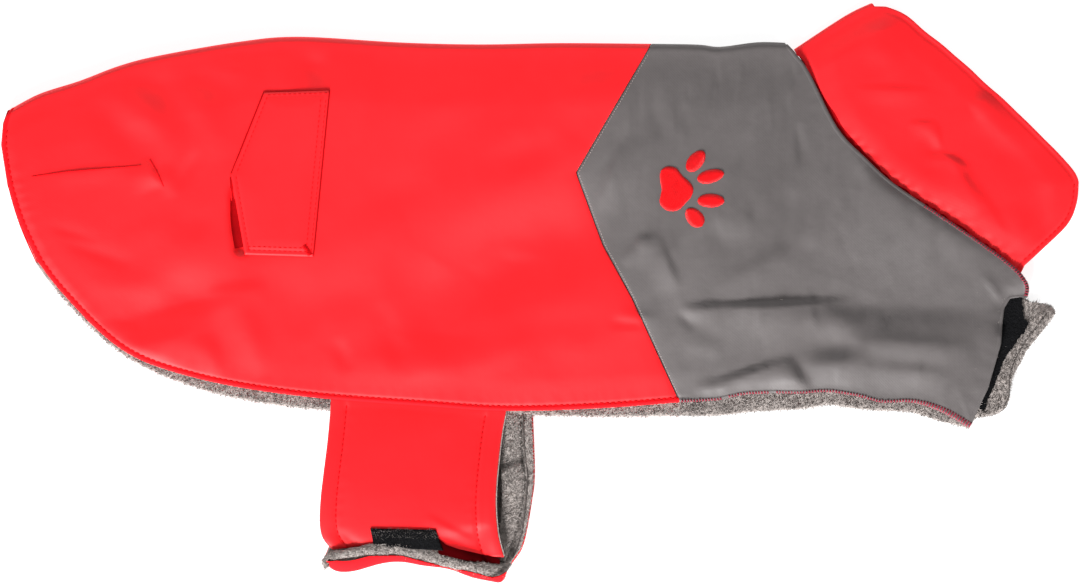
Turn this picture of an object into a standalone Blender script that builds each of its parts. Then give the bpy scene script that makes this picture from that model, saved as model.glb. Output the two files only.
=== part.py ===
"""A dog raincoat folded in half along its back and laid on its side.

X runs from tail to neck, Y from belly strap to back fold, Z up from the surface it lies on.
The near half lies on top of the far half. Sizes in the tables are millimetres.
"""

import math
from collections import namedtuple

import bmesh
import bpy
from mathutils import Vector, geometry
from mathutils.bvhtree import BVHTree

MM = 0.001  # the tables' unit, in metres

# ---------------------------------------------------------------- cloth
SHELL = 1.0  # coated outer cloth
FLEECE = 2.0
COLLAR_WALL = 2.0  # two plies of shell with a thin filling
TAPE = 1.2  # hook-and-loop tape
GAP = 0.3  # between sewn or touching pieces
SHELL_DEPTHS = (0.0, SHELL)  # how far each face of a layer lies under the coat's outer surface
FLEECE_DEPTHS = (SHELL + GAP, SHELL + GAP + FLEECE)
TAPE_REACH = 1.5  # the stiff tape bridges dips narrower than twice this
UNDER_GAP = 1.2  # between hidden edges that curve
BODY_FOLD_RADIUS = FLEECE_DEPTHS[1] + GAP / 2
COLLAR_FOLD_RADIUS = COLLAR_WALL + GAP / 2

UP_Y = Vector((0.0, 1.0))
SHARP_ANGLE = 50.0  # degrees; the walls' cut edges shade sharp
ABOVE_ALL = 50.0  # a height over the whole coat

# ---------------------------------------------------------------- grids
BACK_COLUMNS = 34
YOKE_COLUMNS = 15
YOKE_CORNER = 10 / YOKE_COLUMNS  # share of the yoke's lower edge at which the chest flap's end starts
COLLAR_COLUMNS = 8
FAR_SHARES = (1.0, 0.94, 0.86, 0.76, 0.65, 0.54, 0.44, 0.36, 0.29, 0.21, 0.12, 0.05)  # far rows, hem to fold
ARC_ROWS = 4
NEAR_ROWS = 16
SEAM_POINT_ROW = 6  # the near row that meets the point of the yoke seam
FOLDED_ROWS = len(FAR_SHARES) + ARC_ROWS + NEAR_ROWS
COLLAR_NEAR_ROWS = 12
COLLAR_ROWS = len(FAR_SHARES) + ARC_ROWS + COLLAR_NEAR_ROWS

# ---------------------------------------------------------------- outlines
Point = namedtuple("Point", "x y")
HemPoint = namedtuple("HemPoint", "x y lip")  # lip: how far the far half shows past the near hem
ShareX = namedtuple("ShareX", "x y share")  # share: place along an edge that has corners

BACK_FOLD = [
    Point(-269.5, 92.7),
    Point(-254.3, 100.8),
    Point(-233.9, 107.4),
    Point(-213.6, 115.1),
    Point(-193.3, 120.3),
    Point(-152.7, 127.3),
    Point(-122.2, 129.8),
    Point(-71.4, 126.9),
    Point(-30.7, 125.9),
    Point(9.9, 126.6),
    Point(56.6, 126.2),
]
YOKE_FOLD = [
    Point(56.6, 126.2),
    Point(80.0, 125.8),
    Point(91.2, 124.7),
    Point(110.0, 127.0),
    Point(125.2, 126.7),
]
TAIL_EDGE = [
    HemPoint(-272.0, 86.0, 0.3),
    HemPoint(-273.0, 75.0, 0.3),
    HemPoint(-269.8, 54.6, 0.8),
    HemPoint(-263.4, 34.3, 1.2),
    HemPoint(-254.3, 15.0, 1.8),
]
BACK_HEM = [
    HemPoint(-254.3, 15.0, 1.8),
    HemPoint(-244.1, 1.8, 1.9),
    HemPoint(-223.8, -19.6, 1.9),
    HemPoint(-206.0, -32.5, 2.4),
    HemPoint(-183.1, -41.0, 4.2),
    HemPoint(-152.7, -48.0, 6.0),
    HemPoint(-112.0, -53.5, 6.1),
    HemPoint(-59.7, -57.4, 4.0),
    HemPoint(-18.0, -60.0, 2.0),
    HemPoint(30.2, -58.6, 4.6),
    HemPoint(70.4, -55.6, 7.1),
]
YOKE_HEM = [
    HemPoint(70.4, -55.6, 7.1),
    HemPoint(90.0, -54.3, 8.3),
    HemPoint(106.0, -51.3, 9.4),
    HemPoint(132.3, -51.0, 8.2),
    HemPoint(146.0, -50.3, 6.8),
    HemPoint(161.3, -52.6, 6.6),
    HemPoint(173.0, -55.6, 4.6),
    HemPoint(188.2, -55.6, 5.2),
    HemPoint(202.0, -60.0, 5.0),
    HemPoint(217.4, -68.8, 0.5),
]
YOKE_SEAM = [
    ShareX(56.6, 126.2, 0.0),
    ShareX(18.2, 60.7, SEAM_POINT_ROW / NEAR_ROWS),
    ShareX(31.8, 24.1, 0.58),
    ShareX(46.5, -2.8, 0.72),
    ShareX(70.4, -55.6, 1.0),
]
NECK_EDGE = [
    Point(125.2, 126.7),
    Point(129.6, 121.0),
    Point(136.4, 111.5),
    Point(150.6, 83.6),
    Point(165.4, 67.8),
    Point(180.1, 54.6),
    Point(209.0, 35.3),
    Point(237.5, 15.5),
    Point(247.1, 4.8),
    Point(247.1, -2.8),
]
CHEST_END = [  # the near chest flap's free end, from its lower corner up to the neck edge
    ShareX(217.4, -68.8, YOKE_CORNER),
    ShareX(226.9, -48.5, 0.78),
    ShareX(233.4, -26.2, 0.89),
    ShareX(237.0, -12.0, 0.95),
    ShareX(247.1, -2.8, 1.0),
]
FAR_CHEST_END = [  # the far chest flap reaches past the near one and curls up
    ShareX(217.4, -69.3, YOKE_CORNER),
    ShareX(231.0, -63.2, 0.71),
    ShareX(237.2, -57.5, 0.77),
    ShareX(239.2, -44.0, 0.83),
    ShareX(246.9, -29.2, 0.89),
    ShareX(257.0, -16.5, 0.94),
    ShareX(261.2, -10.6, 1.0),
]
FAR_CHEST_TOP = [Point(252.0, -5.0), Point(259.0, -6.6), Point(261.2, -10.6)]  # on from the neck edge
COLLAR_FOLD = [
    Point(128.6, 123.4),
    Point(154.7, 140.5),
    Point(168.4, 147.1),
]
COLLAR_OUTER_EDGE = [
    Point(168.4, 147.1),
    Point(180.1, 143.5),
    Point(191.8, 135.4),
    Point(213.1, 117.6),
    Point(244.1, 89.2),
    Point(268.5, 64.3),
    Point(273.0, 56.1),
]
COLLAR_FRONT_END = [
    Point(244.1, 12.4),
    Point(255.8, 23.1),
    Point(267.5, 34.8),
    Point(272.0, 45.5),
    Point(273.0, 56.1),
]

# ---------------------------------------------------------------- height of the near half
NEAR_LIFT = 1.2  # the near half stands this much off the far one, past the fold
PUFF = 2.2  # rise of its middle
COLLAR_PUFF = 1.8
PUFF_SHAPE = 0.7  # under 1: the rise is full, with rounded sides
TAIL_RISE = 0.14  # share of the back's length over which the rise grows from the tail
CHEST_FLATTEN = 0.6  # how much of the rise is lost by the neck edge
CHEST_FLATTEN_START = 0.6

Fold = namedtuple("Fold", "x y length width angle height")
BODY_FOLDS = [
    Fold(-229, 62, 58, 14, 5, -1.4),  # the dart at the tail
    Fold(-206, 82, 50, 16, -48, 2.4),
    Fold(-178, 97, 42, 18, -37, 1.6),
    Fold(-181, 68, 42, 17, 65, 1.7),
    Fold(-221, 22, 62, 14, -20, -1.3),
    Fold(-176, -8, 78, 24, 15, -2.2),
    Fold(-138, -16, 34, 18, -70, -1.8),
    Fold(-152, -22, 36, 17, -70, 1.8),
    Fold(-10, 37, 96, 46, 35, 1.8),
    Fold(-56, -5, 64, 40, -40, 1.2),
    Fold(30, -40, 90, 24, 4, 1.1),
    Fold(40, 63, 50, 15, 70, -1.6),
    Fold(57, 15, 34, 14, -55, -1.3),
    Fold(119, -6, 96, 15, 2, -2.4),
    Fold(157, -24, 120, 26, -2, 1.6),
    Fold(116, -38, 48, 14, 8, -1.9),
    Fold(108, 14, 44, 18, 36, 1.2),
    Fold(222, -38, 110, 56, 73, 3.2),  # the near chest flap lifts off the tape below it
]
COLLAR_FOLDS_START = 0.3  # share of the collar's height over which its folds grow from the base
COLLAR_FOLDS = [
    Fold(212, 78, 34, 14, -60, -1.2),
    Fold(236, 48, 44, 18, -60, 1.3),
    Fold(178, 108, 60, 24, -40, 1.2),
]
CHEST_CURL = 5.0  # rise of the far chest flap's free edge
CHEST_CURL_START = 6.0  # distance past the near flap's end
CHEST_CURL_REACH = 16.0
CHEST_CURL_TOP = -2.0  # the curl fades out towards the neck edge, up to here
CHEST_CURL_FADE = 9.0
COLLAR_TUCK = 3.0  # the collar's base runs this far under the near neck edge
COLLAR_CLEAR = 0.6  # and stands this far off it at the back fold
TUCK_START = FAR_SHARES[-1]  # share of the far neck line, from the back fold, where the tuck begins
TUCK_LENGTH = FAR_SHARES[-2] - FAR_SHARES[-1]
COLLAR_TUCK_LATE = 0.01  # the collar's tuck starts this much later than the room made for it
COLLAR_END = 0.85  # share of the far neck line at which the collar stops

# ---------------------------------------------------------------- pocket flap
FLAP_WALL = 1.0
FLAP_COLUMNS = 4
FLAP_ROWS = 8
FLAP_LIFT = 1.8  # the free edge gapes over the pocket mouth
FLAP_GAPE_START = 0.45
FLAP_GAPE_LENGTH = 0.3
FLAP_LEFT = [ShareX(-140.0, 101.3, 0.0), ShareX(-156.7, 59.7, 0.5), ShareX(-149.6, 19.1, 1.0)]
FLAP_RIGHT = [ShareX(-106.9, 102.4, 0.0), ShareX(-115.1, 18.0, 1.0)]

# ---------------------------------------------------------------- belly strap
STRAP_COLUMNS = 8
STRAP_ROWS = 9
STRAP_END_ROWS = 7
STRAP_ROOT_STEPS = 16
STRAP_CROWN = 0.8  # the strap's sides hang lower than its middle
STRAP_CROWN_START = 0.2  # share of the strap's length over which that grows from the hem
NEAR_STRAP_LEFT = [
    Point(-106.2, -54.3),
    Point(-108.0, -75.4),
    Point(-111.5, -106.4),
    Point(-111.0, -122.2),
    Point(-105.4, -130.3),
]
NEAR_STRAP_RIGHT = [
    Point(-17.5, -60.4),
    Point(-20.1, -75.4),
    Point(-22.6, -102.4),
    Point(-21.6, -121.2),
    Point(-18.5, -133.9),
]
NEAR_STRAP_END = [
    Point(-105.4, -130.3),
    Point(-90.7, -128.4),
    Point(-78.5, -126.6),
    Point(-65.8, -127.0),
    Point(-53.6, -129.6),
    Point(-38.9, -134.6),
    Point(-18.5, -133.9),
]
Rise = namedtuple("Rise", "share z")  # z: the strap's outer surface, at this share of its length
NEAR_STRAP_RISE = [Rise(0.0, 7.6), Rise(0.25, 12.5), Rise(0.5, 15.0), Rise(0.8, 14.0), Rise(1.0, 11.0)]

FAR_STRAP_LEFT = [
    Point(-92.7, -61.3),
    Point(-95.0, -85.0),
    Point(-101.0, -112.0),
    Point(-109.5, -133.9),
]
FAR_STRAP_RIGHT = [
    Point(-3.8, -62.2),
    Point(-2.8, -91.2),
    Point(-4.3, -106.4),
    Point(-7.9, -127.3),
    Point(-19.6, -139.4),
]
FAR_STRAP_END = [  # the lowest line of the end, where it turns up
    Point(-109.5, -133.9),
    Point(-96.3, -134.5),
    Point(-80.5, -130.4),
    Point(-70.4, -129.6),
    Point(-59.7, -131.4),
    Point(-46.5, -133.2),
    Point(-33.8, -137.6),
    Point(-19.6, -139.4),
]
STRAP_TURN_RADIUS = 7.0  # the far end turns up round the near end
STRAP_TURN_ANGLE = 145.0
STRAP_RIDGE = Fold(-17, -112, 60, 12, 84, 2.6)  # the far fleece wrinkles inside the loop

# ---------------------------------------------------------------- hook-and-loop tape
STRAP_TAPE_COLUMNS = 4
STRAP_TAPE_ROWS = 2
STRAP_TAPE = [Point(-86.1, -118.6), Point(-54.1, -119.6), Point(-51.5, -126.0), Point(-84.5, -124.0)]
CHEST_TAPE_OUTER = [Point(247.0, -17.5), Point(236.5, -32.3), Point(229.4, -48.5), Point(225.5, -59.5)]
CHEST_TAPE_WIDTH = 18.0
CHEST_TAPE_COLUMNS = 6
CHEST_TAPE_ROWS = 8
PROBE_LIFT = 1.0  # the surface under the chest tape is looked for from here, between the two flaps
HEM_SAMPLES = 80


def smooth(points, steps=6):
    """A denser line of points on a smooth curve through the given ones."""
    knots = [Vector((p.x, p.y)) for p in points]
    line = []
    for i in range(len(knots) - 1):
        before = knots[max(i - 1, 0)]
        after = knots[min(i + 2, len(knots) - 1)]
        start, end = knots[i], knots[i + 1]
        handle_1 = start + (end - before) / 6
        handle_2 = end - (after - start) / 6
        line += geometry.interpolate_bezier(start, handle_1, handle_2, end, steps + 1)[:-1]
    return line + [knots[-1]]


class Edge:
    """A line that is read by share: by its length, or by the shares given for its points."""

    def __init__(self, points, shares=None):
        self.points = [Vector((p[0], p[1])) for p in points]
        if shares is None:
            lengths = [0.0]
            for a, b in zip(self.points, self.points[1:]):
                lengths.append(lengths[-1] + (b - a).length)
            shares = [length / lengths[-1] for length in lengths]
        self.shares = list(shares)

    def at(self, share):
        for i in range(len(self.shares) - 1):
            start, end = self.shares[i], self.shares[i + 1]
            if share <= end or i == len(self.shares) - 2:
                return self.points[i].lerp(self.points[i + 1], (share - start) / (end - start))

    def shifted(self, how_far):
        """The same edge with each point moved to its right side by how_far(share)."""
        moved = []
        for i, share in enumerate(self.shares):
            before = self.points[max(i - 1, 0)]
            after = self.points[min(i + 1, len(self.points) - 1)]
            along = (after - before).normalized()
            moved.append(self.points[i] + Vector((along.y, -along.x)) * how_far(share))
        return Edge(moved, self.shares)

    def up_to(self, share, steps=40):
        """The edge's first part, up to a share of it."""
        return Edge([self.at(share * i / steps) for i in range(steps + 1)])

    def starting_at(self, point):
        return Edge([point] + self.points[1:], self.shares)

    def ending_at(self, point):
        return Edge(self.points[:-1] + [point], self.shares)


def cornered(points):
    """An edge with corners, read by the share written at each point."""
    return Edge(points, [p.share for p in points])


def joined(hem, end):
    """A smooth hem up to the yoke's corner, then the chest flap's end."""
    line = Edge(smooth(hem))
    points = line.points + [Vector((p.x, p.y)) for p in end[1:]]
    shares = [share * YOKE_CORNER for share in line.shares] + [p.share for p in end[1:]]
    return Edge(points, shares)


def patch(top, bottom, left, right):
    """A flat surface between four edges, read at (u, v): u along the top, v down the left."""

    def at(u, v):
        across = top.at(u) * (1 - v) + bottom.at(u) * v
        down = left.at(v) * (1 - u) + right.at(v) * u
        upper = top.at(0) * (1 - u) + top.at(1) * u
        lower = bottom.at(0) * (1 - u) + bottom.at(1) * u
        return across + down - (upper * (1 - v) + lower * v)

    return at


def smoothstep(t):
    t = min(max(t, 0.0), 1.0)
    return t * t * (3 - 2 * t)


def fold_height(folds, at):
    """The sum of soft ridges and troughs at a point."""
    height = 0.0
    for fold in folds:
        angle = math.radians(fold.angle)
        dx, dy = at.x - fold.x, at.y - fold.y
        along = dx * math.cos(angle) + dy * math.sin(angle)
        across = dy * math.cos(angle) - dx * math.sin(angle)
        reach = 1 - (2 * along / fold.length) ** 2
        if reach > 0:
            height += fold.height * reach**1.5 * math.exp(-((2 * across / fold.width) ** 2))
    return height


def tuck_at(share, late=0.0):
    """How much of the tuck is reached at a share of the neck edge."""
    return min(max((share - late - TUCK_START) / TUCK_LENGTH, 0.0), 1.0)


def far_neck_line():
    """The neck edge from inside the back fold to the far chest flap's upper corner."""
    start = Vector(NECK_EDGE[0]) - UP_Y * BODY_FOLD_RADIUS
    return Edge(smooth([Point(*start)] + NECK_EDGE[1:] + FAR_CHEST_TOP))


def far_inset(share):
    """How far the far neck edge stays back from the collar's base, and no longer past the collar."""
    back_out = min(max((FAR_SHARES[1] - share) / (FAR_SHARES[1] - FAR_SHARES[2]), 0.0), 1.0)
    return (COLLAR_TUCK + UNDER_GAP) * min(tuck_at(share), back_out)


def lip_edge(points):
    """The far half's hem: the near hem moved out by each point's lip."""
    near = smooth(points)
    lips = smooth([Point(p.lip, 0) for p in points])
    moved = []
    for i, point in enumerate(near):
        along = (near[min(i + 1, len(near) - 1)] - near[max(i - 1, 0)]).normalized()
        moved.append(point + Vector((along.y, -along.x)) * lips[i].x)
    return Edge(moved)


# ---------------------------------------------------------------- building


def material(name, color, roughness):
    made = bpy.data.materials.new(name)
    made.use_nodes = True
    shader = made.node_tree.nodes["Principled BSDF"]
    shader.inputs["Base Color"].default_value = (*color, 1.0)
    shader.inputs["Roughness"].default_value = roughness
    shader.inputs["Metallic"].default_value = 0.0
    made.diffuse_color = (*color, 1.0)
    return made


def cloth(name, columns, rows, place, finish):
    """A closed wall of cloth: a grid with a second face, each point put where place says.

    place(column, row, face) gives the point in millimetres; face is 0 outside and 1 inside.
    """
    bm = bmesh.new()
    bmesh.ops.create_grid(bm, x_segments=columns, y_segments=rows, size=0.5)
    bmesh.ops.triangulate(bm, faces=bm.faces[:], quad_method="FIXED")
    made = bmesh.ops.extrude_face_region(bm, geom=bm.faces[:], use_keep_orig=True)
    for item in made["geom"]:
        if isinstance(item, bmesh.types.BMVert):
            item.co.z = 1.0
    for vert in bm.verts:
        column = round((vert.co.x + 0.5) * columns)
        row = round((vert.co.y + 0.5) * rows)
        vert.co = place(column, row, round(vert.co.z)) * MM
    bmesh.ops.recalc_face_normals(bm, faces=bm.faces[:])
    mesh = bpy.data.meshes.new(name)
    bm.to_mesh(mesh)
    bm.free()
    mesh.materials.append(finish)
    mesh.shade_smooth()
    mesh.set_sharp_from_angle(angle=math.radians(SHARP_ANGLE))
    obj = bpy.data.objects.new(name, mesh)
    COAT.objects.link(obj)
    return obj


def folded_row(row, near_rows):
    """Where a row of a folded sheet lies: (on the near half, share from fold to hem, angle round the fold)."""
    if row < len(FAR_SHARES):
        return False, FAR_SHARES[row], -90.0
    row -= len(FAR_SHARES)
    if row <= ARC_ROWS:
        return True, 0.0, -90.0 + 180.0 * row / ARC_ROWS
    return True, (row - ARC_ROWS) / near_rows, 90.0


def folded_point(far, near, out, radius, near_rows, u, row, depth, lifts):
    """A point of a sheet folded over: far and near are its halves' patches, out points past the fold."""
    on_near, share, angle = folded_row(row, near_rows)
    flat = (near if on_near else far)(u, share)
    turn = math.radians(angle)
    reach = (radius - depth) * (0.0 if abs(angle) == 90.0 else math.cos(turn))
    flat = flat + out * reach
    height = radius + (radius - depth) * math.sin(turn)
    if share > 0:
        height += lifts[on_near](u, share, flat)
    return Vector((flat.x, flat.y, height))


def inner_fold(points, out, radius):
    """The line where a folded sheet starts to turn, inside its outline."""
    return Edge([p - out * radius for p in smooth(points)])


def strip_grid(corners, columns, rows):
    """A four-sided strip read by column and row, from its corners in order."""
    a, b, c, d = [Vector(corner) for corner in corners]

    def at(column, row):
        u, v = column / columns, row / rows
        return a.lerp(b, u).lerp(d.lerp(c, u), v)

    return at


def tree_of(obj):
    bm = bmesh.new()
    bm.from_mesh(obj.data)
    tree = BVHTree.FromBMesh(bm)
    bm.free()
    return tree


def surface_below(tree, at, start, reach=0.0):
    """The height of a surface straight below a point, and up to reach beside it, in millimetres."""
    heights = []
    for dx, dy in ((0, 0), (reach, 0), (-reach, 0), (0, reach), (0, -reach)):
        hit = tree.ray_cast(Vector((at.x + dx, at.y + dy, start)) * MM, Vector((0, 0, -1)))[0]
        if hit:
            heights.append(hit.z / MM)
    return max(heights)


# ---------------------------------------------------------------- the coat's body


def body_patches():
    """The near and far halves' patches, for the back and for the yoke."""
    back_fold = inner_fold(BACK_FOLD, UP_Y, BODY_FOLD_RADIUS)
    yoke_fold = inner_fold(YOKE_FOLD, UP_Y, BODY_FOLD_RADIUS)
    seam = cornered(YOKE_SEAM).starting_at(back_fold.at(1))
    tail = Edge(smooth([Point(*back_fold.at(0))] + TAIL_EDGE))
    neck = Edge(smooth([Point(*yoke_fold.at(1))] + NECK_EDGE[1:]))
    near_back = patch(back_fold, Edge(smooth(BACK_HEM)), tail, seam)
    near_yoke = patch(yoke_fold, joined(YOKE_HEM, CHEST_END), seam, neck)

    far_back_hem = lip_edge(BACK_HEM)
    far_yoke_line = lip_edge(YOKE_HEM)
    far_tail = lip_edge([HemPoint(*back_fold.at(0), 0.0)] + TAIL_EDGE)
    far_back_hem = far_back_hem.starting_at(far_tail.at(1))
    far_yoke_line = far_yoke_line.starting_at(far_back_hem.at(1))
    far_hem_points = [Point(*p) for p in far_yoke_line.points]
    far_hem_shares = [share * YOKE_CORNER for share in far_yoke_line.shares]
    far_end = FAR_CHEST_END[1:]
    far_yoke_hem = Edge(far_hem_points + far_end, far_hem_shares + [p.share for p in far_end])
    far_seam = seam.ending_at(far_back_hem.at(1))
    far_neck = far_neck_line().shifted(far_inset)
    far_back = patch(back_fold, far_back_hem, far_tail, far_seam)
    far_yoke = patch(yoke_fold, far_yoke_hem, far_seam, far_neck)
    return {"back": (far_back, near_back), "yoke": (far_yoke, near_yoke)}


def back_lift(u, share, at):
    puff = PUFF * (4 * share * (1 - share)) ** PUFF_SHAPE * smoothstep(u / TAIL_RISE)
    return NEAR_LIFT + puff + fold_height(BODY_FOLDS, at)


def yoke_lift(u, share, at):
    left = 1 - CHEST_FLATTEN * smoothstep((u - CHEST_FLATTEN_START) / (1 - CHEST_FLATTEN_START))
    puff = PUFF * (4 * share * (1 - share)) ** PUFF_SHAPE * left
    return NEAR_LIFT + puff + fold_height(BODY_FOLDS, at)


def far_lift(u, share, at):
    """The far chest flap curls up past the near flap's end."""
    low, high = CHEST_END[0], CHEST_END[-2]
    along = Vector((high.x - low.x, high.y - low.y)).normalized()
    past = (at.x - low.x) * along.y - (at.y - low.y) * along.x
    rise = CHEST_CURL * smoothstep((past - CHEST_CURL_START) / CHEST_CURL_REACH)
    return rise * smoothstep((CHEST_CURL_TOP - at.y) / CHEST_CURL_FADE)


def no_lift(u, share, at):
    return 0.0


BODY_LIFTS = {"back": (no_lift, back_lift), "yoke": (far_lift, yoke_lift)}


def body_point(patches, panel, u, row, depth):
    far, near = patches[panel]
    lifts = BODY_LIFTS[panel]
    return folded_point(far, near, UP_Y, BODY_FOLD_RADIUS, NEAR_ROWS, u, row, depth, lifts)


def seam_share(patches, panel):
    """Half the seam gap, as a share of the panel's length."""
    near = patches[panel][1]
    return GAP / 2 / (near(1, 0.5) - near(0, 0.5)).length


def add_back_panel(patches, finish):
    last = 1 - seam_share(patches, "back")

    def place(column, row, face):
        u = min(column / BACK_COLUMNS, last)
        return body_point(patches, "back", u, row, SHELL_DEPTHS[face])

    return cloth("back_panel", BACK_COLUMNS, FOLDED_ROWS, place, finish)


def add_front_yoke(patches, finish):
    first = seam_share(patches, "yoke")

    def place(column, row, face):
        u = max(column / YOKE_COLUMNS, first)
        return body_point(patches, "yoke", u, row, SHELL_DEPTHS[face])

    return cloth("front_yoke", YOKE_COLUMNS, FOLDED_ROWS, place, finish)


def add_lining(patches, finish):
    """One fleece sheet under both shell panels, with a column on their seam."""

    def place(column, row, face):
        if column <= BACK_COLUMNS:
            panel, u = "back", column / BACK_COLUMNS
        else:
            panel, u = "yoke", (column - BACK_COLUMNS) / YOKE_COLUMNS
        return body_point(patches, panel, u, row, FLEECE_DEPTHS[face])

    return cloth("lining", BACK_COLUMNS + YOKE_COLUMNS, FOLDED_ROWS, place, finish)


# ---------------------------------------------------------------- collar


def add_collar(finish):
    """A band folded at the centre back, its base tucked under the near neck edge."""
    fold_line = Vector(COLLAR_FOLD[-1]) - Vector(COLLAR_FOLD[0])
    out = Vector((-fold_line.y, fold_line.x)).normalized()
    fold = inner_fold(COLLAR_FOLD, out, COLLAR_FOLD_RADIUS)
    neck = far_neck_line()

    def tuck(share):
        return -COLLAR_CLEAR + (COLLAR_TUCK + COLLAR_CLEAR) * tuck_at(share, COLLAR_TUCK_LATE)

    base = neck.shifted(tuck).up_to(COLLAR_END).starting_at(fold.at(0))
    outer = Edge(smooth(COLLAR_OUTER_EDGE)).starting_at(fold.at(1))
    front = Edge(smooth(COLLAR_FRONT_END)).starting_at(base.at(1))
    half = patch(fold, front, base, outer)

    def near_lift(u, share, at):
        puff = COLLAR_PUFF * (4 * u * (1 - u) * 4 * share * (1 - share)) ** PUFF_SHAPE
        return puff + fold_height(COLLAR_FOLDS, at) * smoothstep(u / COLLAR_FOLDS_START)

    def place(column, row, face):
        u = column / COLLAR_COLUMNS
        depth = face * COLLAR_WALL
        lifts = (no_lift, near_lift)
        return folded_point(half, half, out, COLLAR_FOLD_RADIUS, COLLAR_NEAR_ROWS, u, row, depth, lifts)

    return cloth("collar", COLLAR_COLUMNS, COLLAR_ROWS, place, finish)


# ---------------------------------------------------------------- pocket flap


def add_pocket_flap(back_panel, finish):
    """A pointed flap made from the back panel's surface, moved out."""
    left, right = cornered(FLAP_LEFT), cornered(FLAP_RIGHT)
    tree = tree_of(back_panel)

    def place(column, row, face):
        u, v = column / FLAP_COLUMNS, row / FLAP_ROWS
        at = left.at(v).lerp(right.at(v), u)
        gape = FLAP_LIFT * (1 - u) ** 2 * smoothstep((v - FLAP_GAPE_START) / FLAP_GAPE_LENGTH)
        base = surface_below(tree, at, ABOVE_ALL) + GAP
        return Vector((at.x, at.y, base + gape + (FLAP_WALL if face == 0 else 0.0)))

    return cloth("pocket_flap", FLAP_COLUMNS, FLAP_ROWS, place, finish)


# ---------------------------------------------------------------- belly strap


def height_of_line(line, x):
    """The second coordinate of a line that runs in x, at a given x."""
    for a, b in zip(line.points, line.points[1:]):
        if a.x <= x <= b.x:
            return a.y + (b.y - a.y) * (x - a.x) / (b.x - a.x)
    return line.points[-1].y if x > line.points[-1].x else line.points[0].y


def strap_patch(hem, left_side, right_side, end):
    """A strap's outline, starting just off a hem."""
    left, right = Edge(smooth(left_side)), Edge(smooth(right_side))
    root = []
    for i in range(STRAP_ROOT_STEPS + 1):
        x = left.at(0).x + (right.at(0).x - left.at(0).x) * i / STRAP_ROOT_STEPS
        root.append(Vector((x, height_of_line(hem, x) - GAP)))
    return patch(Edge(root), Edge(smooth(end)), left.starting_at(root[0]), right.starting_at(root[-1]))


def near_strap_place():
    """The near strap hangs on from the near hem and arches over the far one."""
    half = strap_patch(Edge(smooth(BACK_HEM)), NEAR_STRAP_LEFT, NEAR_STRAP_RIGHT, NEAR_STRAP_END)
    rise = Edge(smooth([Point(r.share, r.z) for r in NEAR_STRAP_RISE]))

    def place_at(depths):
        def place(column, row, face):
            u, v = column / STRAP_COLUMNS, row / STRAP_ROWS
            at = half(u, v)
            crown = STRAP_CROWN * (2 * u - 1) ** 2 * smoothstep(v / STRAP_CROWN_START)
            top = height_of_line(rise, v) - crown
            return Vector((at.x, at.y, top - depths[face]))

        return place

    return place_at


def far_strap_place(patches):
    """The far strap lies flat from the far hem, then its end turns up round the near strap's end."""
    far_back = patches["back"][0]
    far_hem = Edge([far_back(i / HEM_SAMPLES, 1.0) for i in range(HEM_SAMPLES + 1)])
    half = strap_patch(far_hem, FAR_STRAP_LEFT, FAR_STRAP_RIGHT, FAR_STRAP_END)

    def place_at(depths, ridge):
        def place(column, row, face):
            u = column / STRAP_COLUMNS
            if row <= STRAP_ROWS:
                at = half(u, row / STRAP_ROWS)
                wrinkle = fold_height([ridge], at) if ridge else 0.0
                return Vector((at.x, at.y, depths[face] + wrinkle))
            turn = math.radians(STRAP_TURN_ANGLE * (row - STRAP_ROWS) / STRAP_END_ROWS)
            radius = STRAP_TURN_RADIUS - depths[face]
            at = half(u, 1.0)
            return Vector((at.x, at.y - radius * math.sin(turn), STRAP_TURN_RADIUS - radius * math.cos(turn)))

        return place

    return place_at


def add_belly_straps(patches, red, fleece):
    near = near_strap_place()
    strap = cloth("belly_strap_near", STRAP_COLUMNS, STRAP_ROWS, near(SHELL_DEPTHS), red)
    cloth("belly_strap_near_lining", STRAP_COLUMNS, STRAP_ROWS, near(FLEECE_DEPTHS), fleece)
    far = far_strap_place(patches)
    rows = STRAP_ROWS + STRAP_END_ROWS
    cloth("belly_strap_far", STRAP_COLUMNS, rows, far(SHELL_DEPTHS, None), red)
    cloth("belly_strap_far_lining", STRAP_COLUMNS, rows, far(FLEECE_DEPTHS, STRAP_RIDGE), fleece)
    return strap


# ---------------------------------------------------------------- tapes


def add_strap_tape(strap, finish):
    grid = strip_grid(STRAP_TAPE, STRAP_TAPE_COLUMNS, STRAP_TAPE_ROWS)
    tree = tree_of(strap)

    def place(column, row, face):
        at = grid(column, row)
        base = surface_below(tree, at, ABOVE_ALL) + GAP
        return Vector((at.x, at.y, base + (TAPE if face == 0 else 0.0)))

    return cloth("strap_tape", STRAP_TAPE_COLUMNS, STRAP_TAPE_ROWS, place, finish)


def add_chest_tape(lining, finish):
    """A strip on the far flap's fleece, partly under the near flap."""
    outer = Edge(smooth(CHEST_TAPE_OUTER))
    inner = outer.shifted(lambda share: CHEST_TAPE_WIDTH)
    tree = tree_of(lining)

    def place(column, row, face):
        v = row / CHEST_TAPE_ROWS
        at = inner.at(v).lerp(outer.at(v), column / CHEST_TAPE_COLUMNS)
        start = FLEECE_DEPTHS[1] + far_lift(0, 1, at) + PROBE_LIFT
        base = surface_below(tree, at, start, TAPE_REACH) + GAP
        return Vector((at.x, at.y, base + (TAPE if face == 0 else 0.0)))

    return cloth("chest_tape", CHEST_TAPE_COLUMNS, CHEST_TAPE_ROWS, place, finish)


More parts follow.
